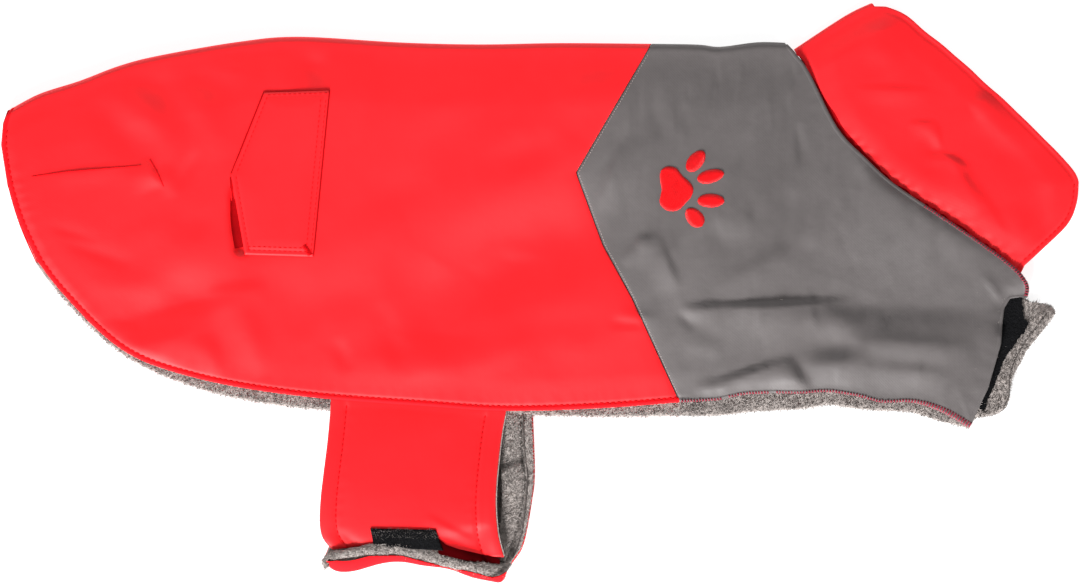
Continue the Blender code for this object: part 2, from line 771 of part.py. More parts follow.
def centre_on_origin():
    """Moves every piece so that the middle of the coat's underside is the origin."""
    corners = [Vector(c) for obj in COAT.objects for c in obj.bound_box]
    lowest = Vector([min(c[i] for c in corners) for i in range(3)])
    highest = Vector([max(c[i] for c in corners) for i in range(3)])
    middle = (lowest + highest) / 2
    for obj in COAT.objects:
        for vert in obj.data.vertices:
            vert.co -= Vector((middle.x, middle.y, lowest.z))
    size = (highest - lowest) / MM
    print(f"coat {size.x:.1f} x {size.y:.1f} x {size.z:.1f} mm")


for leftover in list(bpy.data.objects):
    bpy.data.objects.remove(leftover)
COAT = bpy.data.collections.new("dog_raincoat")
bpy.context.scene.collection.children.link(COAT)

RED = material("red_shell", (0.95, 0.02, 0.035), 0.55)
GREY = material("grey_shell", (0.17, 0.16, 0.155), 0.6)
WARM = material("fleece", (0.30, 0.28, 0.265), 0.95)
BLACK = material("hook_and_loop", (0.012, 0.012, 0.013), 0.9)

BODY = body_patches()
BACK_PANEL = add_back_panel(BODY, RED)
add_front_yoke(BODY, GREY)
LINING = add_lining(BODY, WARM)
add_collar(RED)
add_pocket_flap(BACK_PANEL, RED)
NEAR_STRAP = add_belly_straps(BODY, RED, WARM)
add_strap_tape(NEAR_STRAP, BLACK)
add_chest_tape(LINING, BLACK)
centre_on_origin()
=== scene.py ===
# %% [markdown]
# # A dog raincoat, folded in half and laid on its side
#
# The frame holds the coat's plain solids: each cut piece of cloth is one closed wall. This notebook
# dresses them. Every cloth piece becomes a fine thin sheet on the same form, with its creases, rolled
# hems, stitches and fleece nap, and every finish is a procedural material.

# %% Load the frame
import math
from collections import namedtuple

import bmesh
import bpy
import numpy as np
from mathutils import Matrix, Vector, geometry


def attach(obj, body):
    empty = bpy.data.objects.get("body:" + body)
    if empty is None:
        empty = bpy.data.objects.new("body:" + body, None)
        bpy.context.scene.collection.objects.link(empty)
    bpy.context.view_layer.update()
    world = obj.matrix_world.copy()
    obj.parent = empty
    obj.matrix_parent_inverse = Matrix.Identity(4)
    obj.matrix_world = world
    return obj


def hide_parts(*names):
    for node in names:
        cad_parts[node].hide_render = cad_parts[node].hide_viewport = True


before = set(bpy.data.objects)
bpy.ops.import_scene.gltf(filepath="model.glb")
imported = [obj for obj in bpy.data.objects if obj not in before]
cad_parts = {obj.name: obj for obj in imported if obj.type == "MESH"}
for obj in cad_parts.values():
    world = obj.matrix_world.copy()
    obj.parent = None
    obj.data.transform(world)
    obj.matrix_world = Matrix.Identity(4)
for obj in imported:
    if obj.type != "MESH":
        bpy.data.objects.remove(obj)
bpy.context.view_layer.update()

MM = 0.001  # the tables below are in millimetres, meshes are in metres
CENTRE = np.array((-0.11, 0.38))  # middle of the folded coat in the tables, which lies over the origin
PIXEL = 0.508  # one pixel of the 1080 x 587 photograph, on the coat
PHOTO_ORIGIN = (540.5, 292.5)  # the pixel that shows the tables' origin
random = np.random.default_rng(7)
print("nodes:", ", ".join(sorted(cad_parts)))

# %% [markdown]
# ## Lines
#
# A sewing pattern is drawn with a few curves. Each curve here has only the points its shape needs, and
# Blender's Bezier helper fills in the rest. Curve objects would do too, but a plain array of points can
# be moved inwards, measured and read at any share of its length, which hems and stitches need.

# %% Soft curves and soft steps


def smooth(points, steps=6):
    """A denser line on a smooth curve through the given points."""
    knots = [Vector((p[0], p[1])) for p in points]
    line = []
    for i in range(len(knots) - 1):
        before, after = knots[max(i - 1, 0)], knots[min(i + 2, len(knots) - 1)]
        start, end = knots[i], knots[i + 1]
        handles = start + (end - before) / 6, end - (after - start) / 6
        line += geometry.interpolate_bezier(start, *handles, end, steps + 1)[:-1]
    return np.array([p[:] for p in line + [knots[-1]]])


def smoothstep(t):
    t = np.clip(t, 0.0, 1.0)
    return t * t * (3 - 2 * t)


def bell(distance, width):
    """1 at no distance, falling softly to almost 0 at twice the width."""
    return np.exp(-((distance / width) ** 2))


def sideways(points):
    """Unit vectors to the right of a path, one for each of its points."""
    along = np.gradient(points, axis=0)
    along /= np.linalg.norm(along, axis=1, keepdims=True)
    return np.stack([along[:, 1], -along[:, 0]], -1)


# %% A line that is read by share


class Line:
    """A polyline that is read by share: of its length, or by the shares given for its points."""

    def __init__(self, points, shares=None):
        self.points = np.array([p[:2] for p in points], float)
        steps = np.linalg.norm(np.diff(self.points, axis=0), axis=1)
        self.length = steps.sum()
        self.shares = np.r_[0.0, steps.cumsum() / self.length] if shares is None else np.array(shares)

    def at(self, share):
        return np.stack([np.interp(share, self.shares, self.points[:, i]) for i in (0, 1)], -1)

    def tangent(self, share, step=0.004):
        ahead = self.at(np.minimum(share + step, 1.0)) - self.at(np.maximum(share - step, 0.0))
        return ahead / np.linalg.norm(ahead, axis=-1, keepdims=True)

    def right(self, share):
        """The unit vector to the line's right side."""
        t = self.tangent(share)
        return np.stack([t[..., 1], -t[..., 0]], -1)

    def shifted(self, how_far):
        """The same line with each point moved to its right side."""
        return Line(self.points + sideways(self.points) * np.reshape(how_far, (-1, 1)), self.shares)

    def from_point(self, point):
        return Line(np.vstack([[point], self.points[1:]]), self.shares)

    def to_point(self, point):
        return Line(np.vstack([self.points[:-1], [point]]), self.shares)

    def nearest(self, at, chunk=4000):
        """The distance from each point to the line, and the share of the line's length there."""
        start, step = self.points[:-1], np.diff(self.points, axis=0)
        lengths = np.linalg.norm(step, axis=1)
        before = np.r_[0.0, lengths.cumsum()[:-1]]
        distance, share = np.empty(len(at)), np.empty(len(at))
        for i in range(0, len(at), chunk):
            gap = at[i : i + chunk, None] - start
            t = np.clip((gap * step).sum(-1) / lengths**2, 0, 1)
            away = np.linalg.norm(gap - t[..., None] * step, axis=-1)
            best = away.argmin(1)
            rows = np.arange(len(best))
            distance[i : i + chunk] = away[rows, best]
            share[i : i + chunk] = (before[best] + t[rows, best] * lengths[best]) / lengths.sum()
        return distance, share


# %% [markdown]
# ## Patches
#
# Cloth runs between its edges. A Coons patch spreads a flat surface between four lines, so that rows and
# columns follow the hems and seams, as the threads of a cut piece roughly do. A plain rectangle bent to
# shape would need its edges trimmed, and a trimmed edge has no clean row for a hem.

# %% A patch between four lines


def patch(top, bottom, left, right):
    """A flat surface between four lines, read at (u, v): u along the top, v down the left."""

    def at(u, v):
        U, V = u[:, None], v[:, None]
        across = top.at(u) * (1 - V) + bottom.at(u) * V
        down = left.at(v) * (1 - U) + right.at(v) * U
        upper = top.at(0.0) * (1 - U) + top.at(1.0) * U
        lower = bottom.at(0.0) * (1 - U) + bottom.at(1.0) * U
        return across + down - (upper * (1 - V) + lower * V)

    return at


# %% [markdown]
# ## The coat's outline
#
# These are the lines of the frame's own solids, in the same millimetres: the back fold along the top,
# the tail, the hem, the pointed seam between back and yoke, the neck and the ends of the chest flaps.
# The third number of a hem point says how far the far half shows below the near one.

# %% Outline tables
BACK_FOLD = [
    (-269.5, 92.7), (-254.3, 100.8), (-233.9, 107.4), (-213.6, 115.1), (-193.3, 120.3), (-152.7, 127.3),
    (-122.2, 129.8), (-71.4, 126.9), (-30.7, 125.9), (9.9, 126.6), (56.6, 126.2),
]
YOKE_FOLD = [(56.6, 126.2), (80.0, 125.8), (91.2, 124.7), (110.0, 127.0), (125.2, 126.7)]
TAIL_EDGE = [(-272.0, 86.0, 0.3), (-273.0, 75.0, 0.3), (-269.8, 54.6, 0.8), (-263.4, 34.3, 1.2), (-254.3, 15.0, 1.8)]
BACK_HEM = [
    (-254.3, 15, 1.8), (-244.1, 1.8, 1.9), (-223.8, -19.6, 1.9), (-206, -32.5, 2.4), (-183.1, -41, 4.2),
    (-152.7, -48, 6), (-112, -53.5, 6.1), (-59.7, -57.4, 4), (-18, -60, 2), (30.2, -58.6, 4.6),
    (70.4, -55.6, 7.1),
]
YOKE_HEM = [
    (70.4, -55.6, 7.1), (90, -54.3, 8.3), (106, -51.3, 9.4), (132.3, -51, 8.2), (146, -50.3, 6.8),
    (161.3, -52.6, 6.6), (173, -55.6, 4.6), (188.2, -55.6, 5.2), (202, -60, 5), (217.4, -68.8, 0.5),
]
YOKE_SEAM = [(56.6, 126.2), (18.2, 60.7), (31.8, 24.1), (46.5, -2.8), (70.4, -55.6)]
YOKE_SEAM_SHARES = (0.0, 0.375, 0.58, 0.72, 1.0)
NECK_EDGE = [
    (125.2, 126.7), (129.6, 121), (136.4, 111.5), (150.6, 83.6), (165.4, 67.8), (180.1, 54.6),
    (209, 35.3), (237.5, 15.5), (247.1, 4.8), (247.1, -2.8),
]
CHEST_CORNER = 2 / 3  # share of the yoke's lower edge at which the chest flap's end starts
CHEST_END = [
    (217.4, -68.8), (226.9, -48.5), (233.4, -26.2), (234.3, -16), (235.4, -8), (238.2, -3.2), (247.1, -2.8),
]
CHEST_END_SHARES = (CHEST_CORNER, 0.78, 0.88, 0.92, 0.95, 0.97, 1.0)
FAR_CHEST_END = [
    (217.4, -69.3), (220.8, -63.4), (226.5, -63), (232.6, -61.2), (237.2, -56.5), (239.2, -44), (246.9, -29.2),
    (257, -16.5), (261.2, -10.6),
]
FAR_CHEST_END_SHARES = (CHEST_CORNER, 0.68, 0.705, 0.735, 0.77, 0.83, 0.89, 0.94, 1.0)
FAR_CHEST_TOP = [(252.0, -5.0), (259.0, -6.6), (261.2, -10.6)]
FAR_NECK_INSET = 4.2  # the far neck edge stays back from the collar's base
FAR_TAIL = [(*BACK_FOLD[0], 0.0)] + TAIL_EDGE

# %% [markdown]
# ## Unfolding the body
#
# Back, yoke and lining each run once round the back fold, so they are laid out in a flat plane (x, w):
# w is the distance from the fold, positive on the near half and negative on the far one. `body` bends
# that plane round the fold and adds a height over the cloth's outer face, so shell, lining, hems and
# stitches all come from one surface and stay on each other.

# %% The folded body
SHELL = 0.7  # thickness of the shell as it shows
LINING_DEPTHS = (1.2, 3.3)  # faces of the fleece, under the coat's outer face
FOLD_RADIUS = 3.45
QUARTER = FOLD_RADIUS * math.pi / 2
fold_line = smooth(BACK_FOLD[:-1] + YOKE_FOLD)


def fold_y(x):
    """Where the body starts to turn round the back fold."""
    return np.interp(x, fold_line[:, 0], fold_line[:, 1]) - FOLD_RADIUS


def unfolded(points, side):
    """Points of the folded outline in the unfolded plane; side is 1 near and -1 far."""
    points = np.array([p[:2] for p in points], float)
    above = points[:, 1] - fold_y(points[:, 0])
    on_arc = FOLD_RADIUS * np.arccos(np.clip(above / FOLD_RADIUS, 0, 1))
    w = np.where(above > 0, on_arc, QUARTER - above)
    return np.stack([points[:, 0], side * w], -1)


def turn_round(w):
    """The angle that points have gone round the fold, and how far they lie past its quarter turn."""
    return np.minimum(np.abs(w) / FOLD_RADIUS, math.pi / 2), np.maximum(np.abs(w) - QUARTER, 0)


def flat_place(x, w, radius=FOLD_RADIUS):
    """The folded place (x, y) of points in the unfolded plane."""
    turn, past = turn_round(w)
    return np.stack([x, fold_y(x) + radius * np.cos(turn) - past], -1)


def body(x, w, out):
    """Points of the folded coat in millimetres: out is a height over the outer face."""
    radius = FOLD_RADIUS + out
    at = flat_place(x, w, radius)
    z = FOLD_RADIUS + np.sign(w) * radius * np.sin(turn_round(w)[0])
    near, far = w > 0, w < -QUARTER
    z[near] += near_lift(at[near])
    z[far] += far_lift(at[far])
    return np.column_stack([at, z])


# %% [markdown]
# ## How the near half lies
#
# A laid coat isn't flat: the hem rests on the far half, the middle holds some air, and handling has left
# creases. Each crease is one row of a table: where it lies in the photograph, its length and width, the
# way it runs and its height. A lean makes one flank steeper, a bend bows it. Their sum over the surface
# gives soft, uneven ground, as in real cloth.

# %% Creases
Crease = namedtuple("Crease", "px py length width angle height lean bend", defaults=(0.0, 0.0))


def crease_table(rows):
    return [Crease(*row) for row in rows]


CREASES = crease_table([
    # red back, tail end: a sewn dart, and wide folds that fan out from its tip
    (89, 171.5, 60, 7.5, 6.6, 0.65, 0.55), (154, 173, 17, 11, -62, 1.7, 0.72, 0.6), (170, 182, 18, 9, -62, 0.9),
    (122, 130, 46, 19, -48, -1.9, -0.1, -2), (152, 118, 58, 20, -46, 1.6, 0, -2),
    (172, 102, 56, 20, -50, -1.6, 0, -3), (206, 118, 50, 18, -58, 1.2, 0.1, -3), (213, 86, 34, 16, -28, -0.9),
    (238, 68, 40, 14, -24, 0.7), (187, 172, 26, 7, 62, -0.9, 0.2), (190, 250, 42, 26, -10, 0.9, 0.1),
    (75, 233, 34, 6, -15, -0.4, -0.2), (100, 254, 44, 8, -20, -0.7, -0.2), (28, 232, 170, 84, -66, 2.4),
    (130, 285, 50, 14, -6, 0.8), (162, 343, 56, 20, 14, 2.6, 0.3), (138, 322, 34, 22, 24, -1.2, 0.2),
    (186, 302, 64, 18, 14, -2, -0.4), (250, 334, 46, 16, -70, 2, 0.1, -2), (212, 356, 26, 12, -68, 1.4, 0.2),
    (126, 331, 20, 12, -8, 1, 0.3), (238, 292, 34, 12, 8, 1.3, 0.4), (292, 300, 46, 22, -66, -1.2),
    (316, 66, 24, 12, -80, -1.3), (280, 70, 26, 14, -76, 0.8),
    # red back, middle: broad diagonal folds
    (516, 260, 136, 44, 27, -5.2, -0.1, 3), (500, 190, 100, 34, 26, 1.4), (420, 300, 44, 30, 60, -1.6, -0.2),
    (532, 154, 62, 18, 20, -1.1), (440, 366, 66, 14, 0, 0.9), (572, 343, 110, 42, 24, 1.7, -0.2),
    (440, 332, 62, 20, -6, -1.3, -0.35, 2), (394, 340, 44, 15, -66, -1.4, -0.1), (390, 362, 70, 20, 3, 1, 0.3),
    (343, 355, 20, 8, -65, -0.9), (340, 296, 48, 24, 10, -1.1), (560, 325, 70, 20, 4, -1),
    (500, 352, 40, 16, 20, 0.9), (628, 324, 22, 5, -2, -0.9, -0.2), (400, 190, 40, 20, 12, -0.7),
    (370, 235, 44, 24, 20, 0.7), (440, 110, 60, 22, 24, 0.8), (590, 90, 46, 20, 14, 1, 0.2),
    # grey yoke: a long crease below the paw, a second one near the hem, and a rise towards the neck
    (614, 172, 44, 10, 67, 1.5, 0.4), (640, 165, 44, 16, 72, 1, 0.3), (634, 250, 20, 9, 50, 1.3, 0.45),
    (667, 265, 30, 10, -70, 2, 0.5), (648, 240, 16, 8, 10, 1.3, 0.4), (768, 306.5, 96, 15, 2.4, 3, 0.74, 1.4),
    (700, 309, 22, 8, 8, 1, 0.5), (687, 321, 14, 6, -50, -1.2, -0.2), (908, 345, 76, 15, -4, 2.4, 0.3, -1),
    (886, 303, 138, 46, -2, -4.8, -0.58), (838, 320, 30, 14, -36, 1, 0.2), (748, 374, 52, 14, 17, 2.8, 0.72, 1.2),
    (795, 378, 24, 13, -60, 3.8, 0.5), (838, 364, 36, 17, 8, 2.8, 0.35), (828, 345, 34, 14, 10, -1.4, -0.2),
    (905, 372, 56, 12, -5, 1.4, 0.3), (715, 388, 26, 10, 6, 1.2, 0.4), (755, 270, 52, 16, 28, 1.6, 0.3),
    (722, 240, 30, 14, -30, -1), (799, 145, 24, 5, -86, -0.9, -0.2), (785, 220, 34, 6, 78, -0.9),
    (815, 225, 30, 7, 80, 0.7), (850, 190, 40, 14, 74, -0.9), (680, 108, 30, 9, -84, -0.7),
    (656, 112, 30, 8, -86, -0.7), (740, 170, 40, 9, 76, -0.6), (700, 345, 30, 12, -20, 0.8),
    (640, 318, 26, 10, -2, 1, 0.3), (930, 215, 120, 70, -38, 3.4), (722, 216, 96, 48, 8, 1.5, -0.2),
    (992, 289, 20, 3.6, -55, 1, -0.2), (950, 262, 34, 12, -50, -0.6),
])

# %% [markdown]
# The big creases are listed one by one, because the eye knows them again. The faint ones between them, the
# crinkles of the yoke's thin cloth and the creases of the hidden half only have to be uneven, so they
# are drawn at random from a fixed seed.

# %% The height that creases add
SLACK_COUNT = 60  # faint wide creases all over
SLACK_AREA = (30, 60, 970, 390)  # left, top, right and bottom, in pixels of the photograph
CRINKLE_COUNT = 260  # small crinkles of the yoke's thin cloth
CRINKLE_AREA = (600, 50, 985, 400)
FAR_CREASE_COUNT = 44


def at_pixel(px, py):
    """A place of the photograph in millimetres."""
    return (px - PHOTO_ORIGIN[0]) * PIXEL, (PHOTO_ORIGIN[1] - py) * PIXEL


def pixels(*points):
    return [at_pixel(*p) for p in points]


def scattered(count, area, angle, lengths, widths, height):
    """Small creases at random places: lengths and widths are (least, most), height the most either way."""
    left, top, right, bottom = area
    return [
        Crease(
            random.uniform(left, right), random.uniform(top, bottom), random.uniform(*lengths),
            random.uniform(*widths), random.normal(*angle), random.uniform(-height, height),
            random.uniform(-0.4, 0.4),
        )
        for _ in range(count)
    ]


def crease_height(creases, at):
    """The sum of soft ridges and troughs at points of the folded plane."""
    height = np.zeros(len(at))
    for c in creases:
        x, y = at_pixel(c.px, c.py)
        turn = math.radians(c.angle)
        dx, dy = at[:, 0] - x, at[:, 1] - y
        along = 2 * (dx * math.cos(turn) + dy * math.sin(turn)) / c.length
        across = dy * math.cos(turn) - dx * math.sin(turn) - c.bend * along**2
        width = c.width * np.where(across > 0, 1 - c.lean, 1 + c.lean)
        height += c.height * np.clip(1 - along**2, 0, 1) ** 1.5 * bell(2 * across, width)
    return height


CRINKLES = scattered(CRINKLE_COUNT, CRINKLE_AREA, (80, 9), (10, 30), (2.2, 5.5), 0.42)
CREASES += scattered(SLACK_COUNT, SLACK_AREA, (20, 50), (18, 50), (9, 22), 0.4)
FAR_CREASES = scattered(FAR_CREASE_COUNT, SLACK_AREA, (20, 50), (40, 130), (9, 30), 1.9)
print("creases:", len(CREASES), "crinkles:", len(CRINKLES), "far creases:", len(FAR_CREASES))

# %% [markdown]
# ## How high the edges lie
#
# A free edge doesn't lie evenly: it stands off the far half in one place and is pressed down in the next.
# A few heights in order round the outline say so, and the height between them is read by share. The
# pocket beside the flap gapes, and the chest flap's end curls down under the collar, so both are hollows.

# %% Heights round the outline
near_outline = Line(np.vstack([
    smooth([BACK_FOLD[0]] + TAIL_EDGE), smooth(BACK_HEM)[1:], smooth(YOKE_HEM)[1:],
    np.array(CHEST_END)[1:], smooth(NECK_EDGE)[::-1][1:],
]))
EDGE_LIFTS = [  # x, y and lift of the near half's free edge, in order round the outline
    (-269.5, 92.7, 0), (-269.8, 54.6, 0.3), (-206, -32.5, 1), (-112, -53.5, 0.6), (-18, -60, 0.2),
    (70.4, -55.6, -0.5), (161.3, -52.6, -0.7), (202, -60, 0.2), (217.4, -68.8, 0.8), (226.9, -48.5, 1.9),
    (237, -12, 1.6), (247.1, 4.8, 0.6), (209, 35.3, 0.8), (150.6, 83.6, 1), (125.2, 126.7, 0),
]
*edge_places, edge_lifts = np.array(EDGE_LIFTS).T
edge_shares = near_outline.nearest(np.stack(edge_places, -1))[1]
edge_shares[0], edge_shares[-1] = 0.0, 1.0
print(f"free edge of the near half: {near_outline.length:.0f} mm")

# %% Pocket mouth and chest hollow
POCKET_MOUTH = Line(pixels((231.5, 178), (235.5, 212), (241.6, 247.5)))
MOUTH_WIDTHS = (0.5, 2.6)  # half the open mouth at its top, and what it gains on the way down
MOUTH_DEPTH = 2.6
CHEST_HOLLOW = Line([(235.0, -16.0), (236.2, -7.5), (239.0, -2.8), (245.5, -1.5)])
CHEST_HOLLOW_DEPTH, CHEST_HOLLOW_WIDTH = 3.4, 4.4


def mouth_width(share):
    """Half the width of the open pocket mouth, down its length."""
    return MOUTH_WIDTHS[0] + MOUTH_WIDTHS[1] * smoothstep(share / 0.8)


def pocket_mouth(at):
    """Depth of the gaping mouth of the pocket."""
    distance, share = POCKET_MOUTH.nearest(at)
    opened = smoothstep((share + 0.05) / 0.4)
    return MOUTH_DEPTH * opened * np.exp(-((distance / (mouth_width(share) + 0.6)) ** 4))


# %% [markdown]
# ## The two halves' faces
#
# Air under the near half lifts its middle, and a row of topstitching or a seam pulls a groove with small
# puckers beside it. Only one function says where the near face is, and another the far one, so that the
# panels, their hems and every stitch agree. A cloth simulation would give softer folds, but not these.

# %% Height of the near half over the far one
NEAR_LIFT = 1.2  # rise away from the edges
PUFF, PUFF_BAND = 2.0, 75.0  # what the middle gains, and how far in
EDGE_BAND = 17.0  # the cloth rises over this distance from a free edge
FOLD_BAND, CREASED_BAND = 30.0, 12.0  # and over the first one from the fold, its creases over the second
SEW_LINE = 2.4  # distance of the topstitching from the edge
SEW_GROOVE, SEAM_GROOVE, SEAM_HOLLOW, PUCKER = 0.4, 0.45, 0.35, 0.10  # depths and height

seam_line = Line(YOKE_SEAM)


def seam_x(y):
    """Where the pointed seam crosses a height of the flat coat."""
    points = seam_line.points[::-1]
    return np.interp(y, points[:, 1], points[:, 0])


def near_lift(at):
    """Rise of the near half's outer face over a coat pressed flat."""
    distance, share = near_outline.nearest(at)
    below_fold = fold_y(at[:, 0]) - at[:, 1]
    middle = NEAR_LIFT + PUFF * smoothstep(distance / PUFF_BAND)
    inside = smoothstep(distance / EDGE_BAND)
    lift = np.interp(share, edge_shares, edge_lifts) * (1 - inside) + middle * inside
    yoke = smoothstep((at[:, 0] - seam_x(at[:, 1])) / 6)
    creases = crease_height(CREASES, at) * smoothstep((distance + 2) / 9)
    creases += crease_height(CRINKLES, at) * yoke * smoothstep(distance / 6)
    lift -= SEW_GROOVE * (1 - yoke) * bell(distance - SEW_LINE, 0.9)
    along = share * near_outline.length
    lift += PUCKER * np.sin(along * 0.9 + 3 * np.sin(along * 0.13)) * bell(distance - 4.5, 3.5)
    to_seam = seam_line.nearest(at)[0]
    lift -= SEAM_GROOVE * bell(to_seam, 0.8) + SEAM_HOLLOW * bell(to_seam, 4.0)
    lift -= CHEST_HOLLOW_DEPTH * bell(CHEST_HOLLOW.nearest(at)[0], CHEST_HOLLOW_WIDTH)
    lift = lift * smoothstep(below_fold / FOLD_BAND)
    return lift + creases * smoothstep(below_fold / CREASED_BAND) - pocket_mouth(at)


def near_top(at):
    """Height of the near half's outer face."""
    return 2 * FOLD_RADIUS + near_lift(at)


# %% Height of the far half
CHEST_CURL = 5.0  # how high the far chest flap curls
CHEST_CURL_START, CHEST_CURL_REACH = 6.0, 16.0  # from this far past the near flap's end, over this distance
CHEST_CURL_TOP, CHEST_CURL_FADE = -2.0, 9.0  # it fades towards this height of the flat coat
FAR_CREASE_TOP = 1.1  # the far creases only rise, up to here
FAR_CREASE_END = 205.0  # they stop at the chest opening, which shows


def far_lift(at):
    """Rise of the far half's outer face: its creases, and the chest flap past the near flap's end."""
    low, high = np.array(CHEST_END[0]), np.array(CHEST_END[2])
    along = (high - low) / np.linalg.norm(high - low)
    past = (at[:, 0] - low[0]) * along[1] - (at[:, 1] - low[1]) * along[0]
    rise = CHEST_CURL * smoothstep((past - CHEST_CURL_START) / CHEST_CURL_REACH)
    rise *= smoothstep((CHEST_CURL_TOP - at[:, 1]) / CHEST_CURL_FADE)
    inside = near_outline.nearest(at)[0] * (at[:, 0] < FAR_CREASE_END)
    return rise + np.clip(crease_height(FAR_CREASES, at), 0, FAR_CREASE_TOP) * smoothstep((inside - 8) / 16)


# %% [markdown]
# ## Cloth as a grid
#
# Blender's `create_grid` gives the rows and columns and `extrude_face_region` the second face of the
# wall. A place function then says where each point of the pattern lies. The flat cut is kept as the UV
# map, so the weave follows the cloth round the fold and up every curl.

# %% From bmesh to object


def new_mesh(name, bm):
    mesh = bpy.data.meshes.new(name)
    bm.to_mesh(mesh)
    bm.free()
    return mesh


def new_object(name, data):
    made = bpy.data.objects.new(name, data)
    bpy.context.scene.collection.objects.link(made)
    return made


def vertex_places(mesh):
    places = np.empty(len(mesh.vertices) * 3)
    mesh.vertices.foreach_get("co", places)
    return places.reshape(-1, 3)


def finish_mesh(mesh, points, cut):
    """Puts the points in place, in metres, and keeps the flat cut as the UV map."""
    points = np.array(points, float)
    points[:, :2] -= CENTRE
    mesh.vertices.foreach_set("co", (points * MM).ravel())
    corners = np.empty(len(mesh.loops), int)
    mesh.loops.foreach_get("vertex_index", corners)
    mesh.uv_layers.new(name="cut").data.foreach_set("uv", (cut[corners] * MM).ravel())
    mesh.update()
    bm = bmesh.new()
    bm.from_mesh(mesh)
    bmesh.ops.remove_doubles(bm, verts=bm.verts, dist=1e-6)
    bmesh.ops.recalc_face_normals(bm, faces=bm.faces)
    bm.to_mesh(mesh)
    bm.free()
    mesh.shade_smooth()
    mesh.set_sharp_from_angle(angle=math.radians(60))
    mesh.calc_loop_triangles()
    print(f"{mesh.name}: {len(mesh.loop_triangles)} triangles")
    return new_object(mesh.name, mesh)


# %% A wall of cloth


def grid_steps(grid, axis, count):
    """The row or column of each point of a grid one wide."""
    return np.rint((grid[:, axis] + 0.5) * count).astype(int)


def cloth(name, columns, rows, place, walls):
    """A closed wall. place(column, row, depth) gives points in mm and their places in the flat cut."""
    bm = bmesh.new()
    bmesh.ops.create_grid(bm, x_segments=columns, y_segments=rows, size=0.5)
    made = bmesh.ops.extrude_face_region(bm, geom=bm.faces[:], use_keep_orig=True)["geom"]
    bmesh.ops.translate(bm, verts=[v for v in made if isinstance(v, bmesh.types.BMVert)], vec=(0, 0, 1))
    mesh = new_mesh(name, bm)
    grid = vertex_places(mesh)
    depth = np.where(grid[:, 2] > 0.5, walls[1], walls[0])
    return finish_mesh(mesh, *place(grid_steps(grid, 0, columns), grid_steps(grid, 1, rows), depth))


# %% [markdown]
# ## Patterns of back and yoke
#
# Each panel is two patches in the unfolded plane, one each side of the fold. They stop a little inside
# the outline, under the rolled hem that covers their edge. Where the photograph shows the far half below
# the near one, its edge is the near edge moved out by that lip.

# %% Edges of the far half
FAR_SHELL_INSET = 0.9  # the far shell hides under the fleece by this much, but not at the tail
far_neck_line = Line(smooth([np.array(NECK_EDGE[0]) - (0, FOLD_RADIUS)] + NECK_EDGE[1:] + FAR_CHEST_TOP))


def lipped(points, inset):
    """The far half's edge: the near edge moved out by its lip, less an inset."""
    near = smooth(points)
    lips = smooth([(p[2], 0) for p in points])[:, 0]
    return Line(near).shifted(lips - inset)


def inset_far_neck(inset):
    """The far neck edge, which stays back from the collar's base between its two ends."""
    shares = far_neck_line.shares
    ramp = np.minimum((shares - 0.05) / 0.07, (0.94 - shares) / 0.08)
    return far_neck_line.shifted(FAR_NECK_INSET * np.clip(ramp, 0, 1) + inset * (shares > 0.9))


# %% Panel patterns
SEAM_POINTS = 81


def dense_seam(side, last):
    """The pointed seam in the unfolded plane, close enough for both panels to meet on it."""
    shares = np.unique(np.r_[np.linspace(0, 1, SEAM_POINTS), YOKE_SEAM_SHARES])
    points = Line(YOKE_SEAM, YOKE_SEAM_SHARES).to_point(last).at(shares)
    made = unfolded(points, side)
    made[0, 1] = 0.0
    return Line(made, shares)


def half_patterns(side, fold_points, hem, tail, yoke_hem, end, neck):
    """The back's and the yoke's patch on one side of the fold, from their edges on the folded coat."""
    tail_top, seam_top, neck_top = fold_points
    seam = dense_seam(side, hem.at(1.0))
    tail, yoke_hem = tail.to_point(hem.at(0.0)), yoke_hem.from_point(hem.at(1.0))
    end = end.to_point(neck.at(1.0))
    lower = Line(
        unfolded(np.vstack([yoke_hem.points, end.points[1:]]), side),
        np.r_[yoke_hem.shares * CHEST_CORNER, end.shares[1:]],
    )
    hem, tail, neck = (Line(unfolded(line.points, side)) for line in (hem, tail, neck))
    back = patch(Line([tail_top, seam_top]), hem, tail.from_point(tail_top), seam)
    yoke = patch(Line([seam_top, neck_top]), lower, seam, neck.from_point(neck_top))
    return back, yoke


def panel_patterns(near_inset, far_inset, far_tail_inset):
    """Near and far patches of back and yoke, with their edges moved inside the outline."""
    fold_points = (BACK_FOLD[0][0] + near_inset, 0.0), (YOKE_SEAM[0][0], 0.0), (NECK_EDGE[0][0] - near_inset, 0.0)
    near_back, near_yoke = half_patterns(
        1, fold_points,
        hem=Line(smooth(BACK_HEM)).shifted(-near_inset),
        tail=Line(smooth([BACK_FOLD[0]] + TAIL_EDGE)).shifted(-near_inset),
        yoke_hem=Line(smooth(YOKE_HEM)).shifted(-near_inset),
        end=Line(CHEST_END, CHEST_END_SHARES).shifted(-near_inset),
        neck=Line(smooth(NECK_EDGE)).shifted(near_inset),
    )
    far_back, far_yoke = half_patterns(
        -1, fold_points,
        hem=lipped(BACK_HEM, far_inset),
        tail=lipped(FAR_TAIL, far_tail_inset),
        yoke_hem=lipped(YOKE_HEM, far_inset),
        end=Line(FAR_CHEST_END, FAR_CHEST_END_SHARES).shifted(-far_inset),
        neck=inset_far_neck(far_inset),
    )
    return {"back": (near_back, far_back), "yoke": (near_yoke, far_yoke)}


# %% [markdown]
# ## Rows and columns
#
# A hem or a turn needs close rows, the open cloth between them doesn't. Each panel's rows run from the
# far hem over the fold to the near hem, and their steps are tables of distances from the ends.

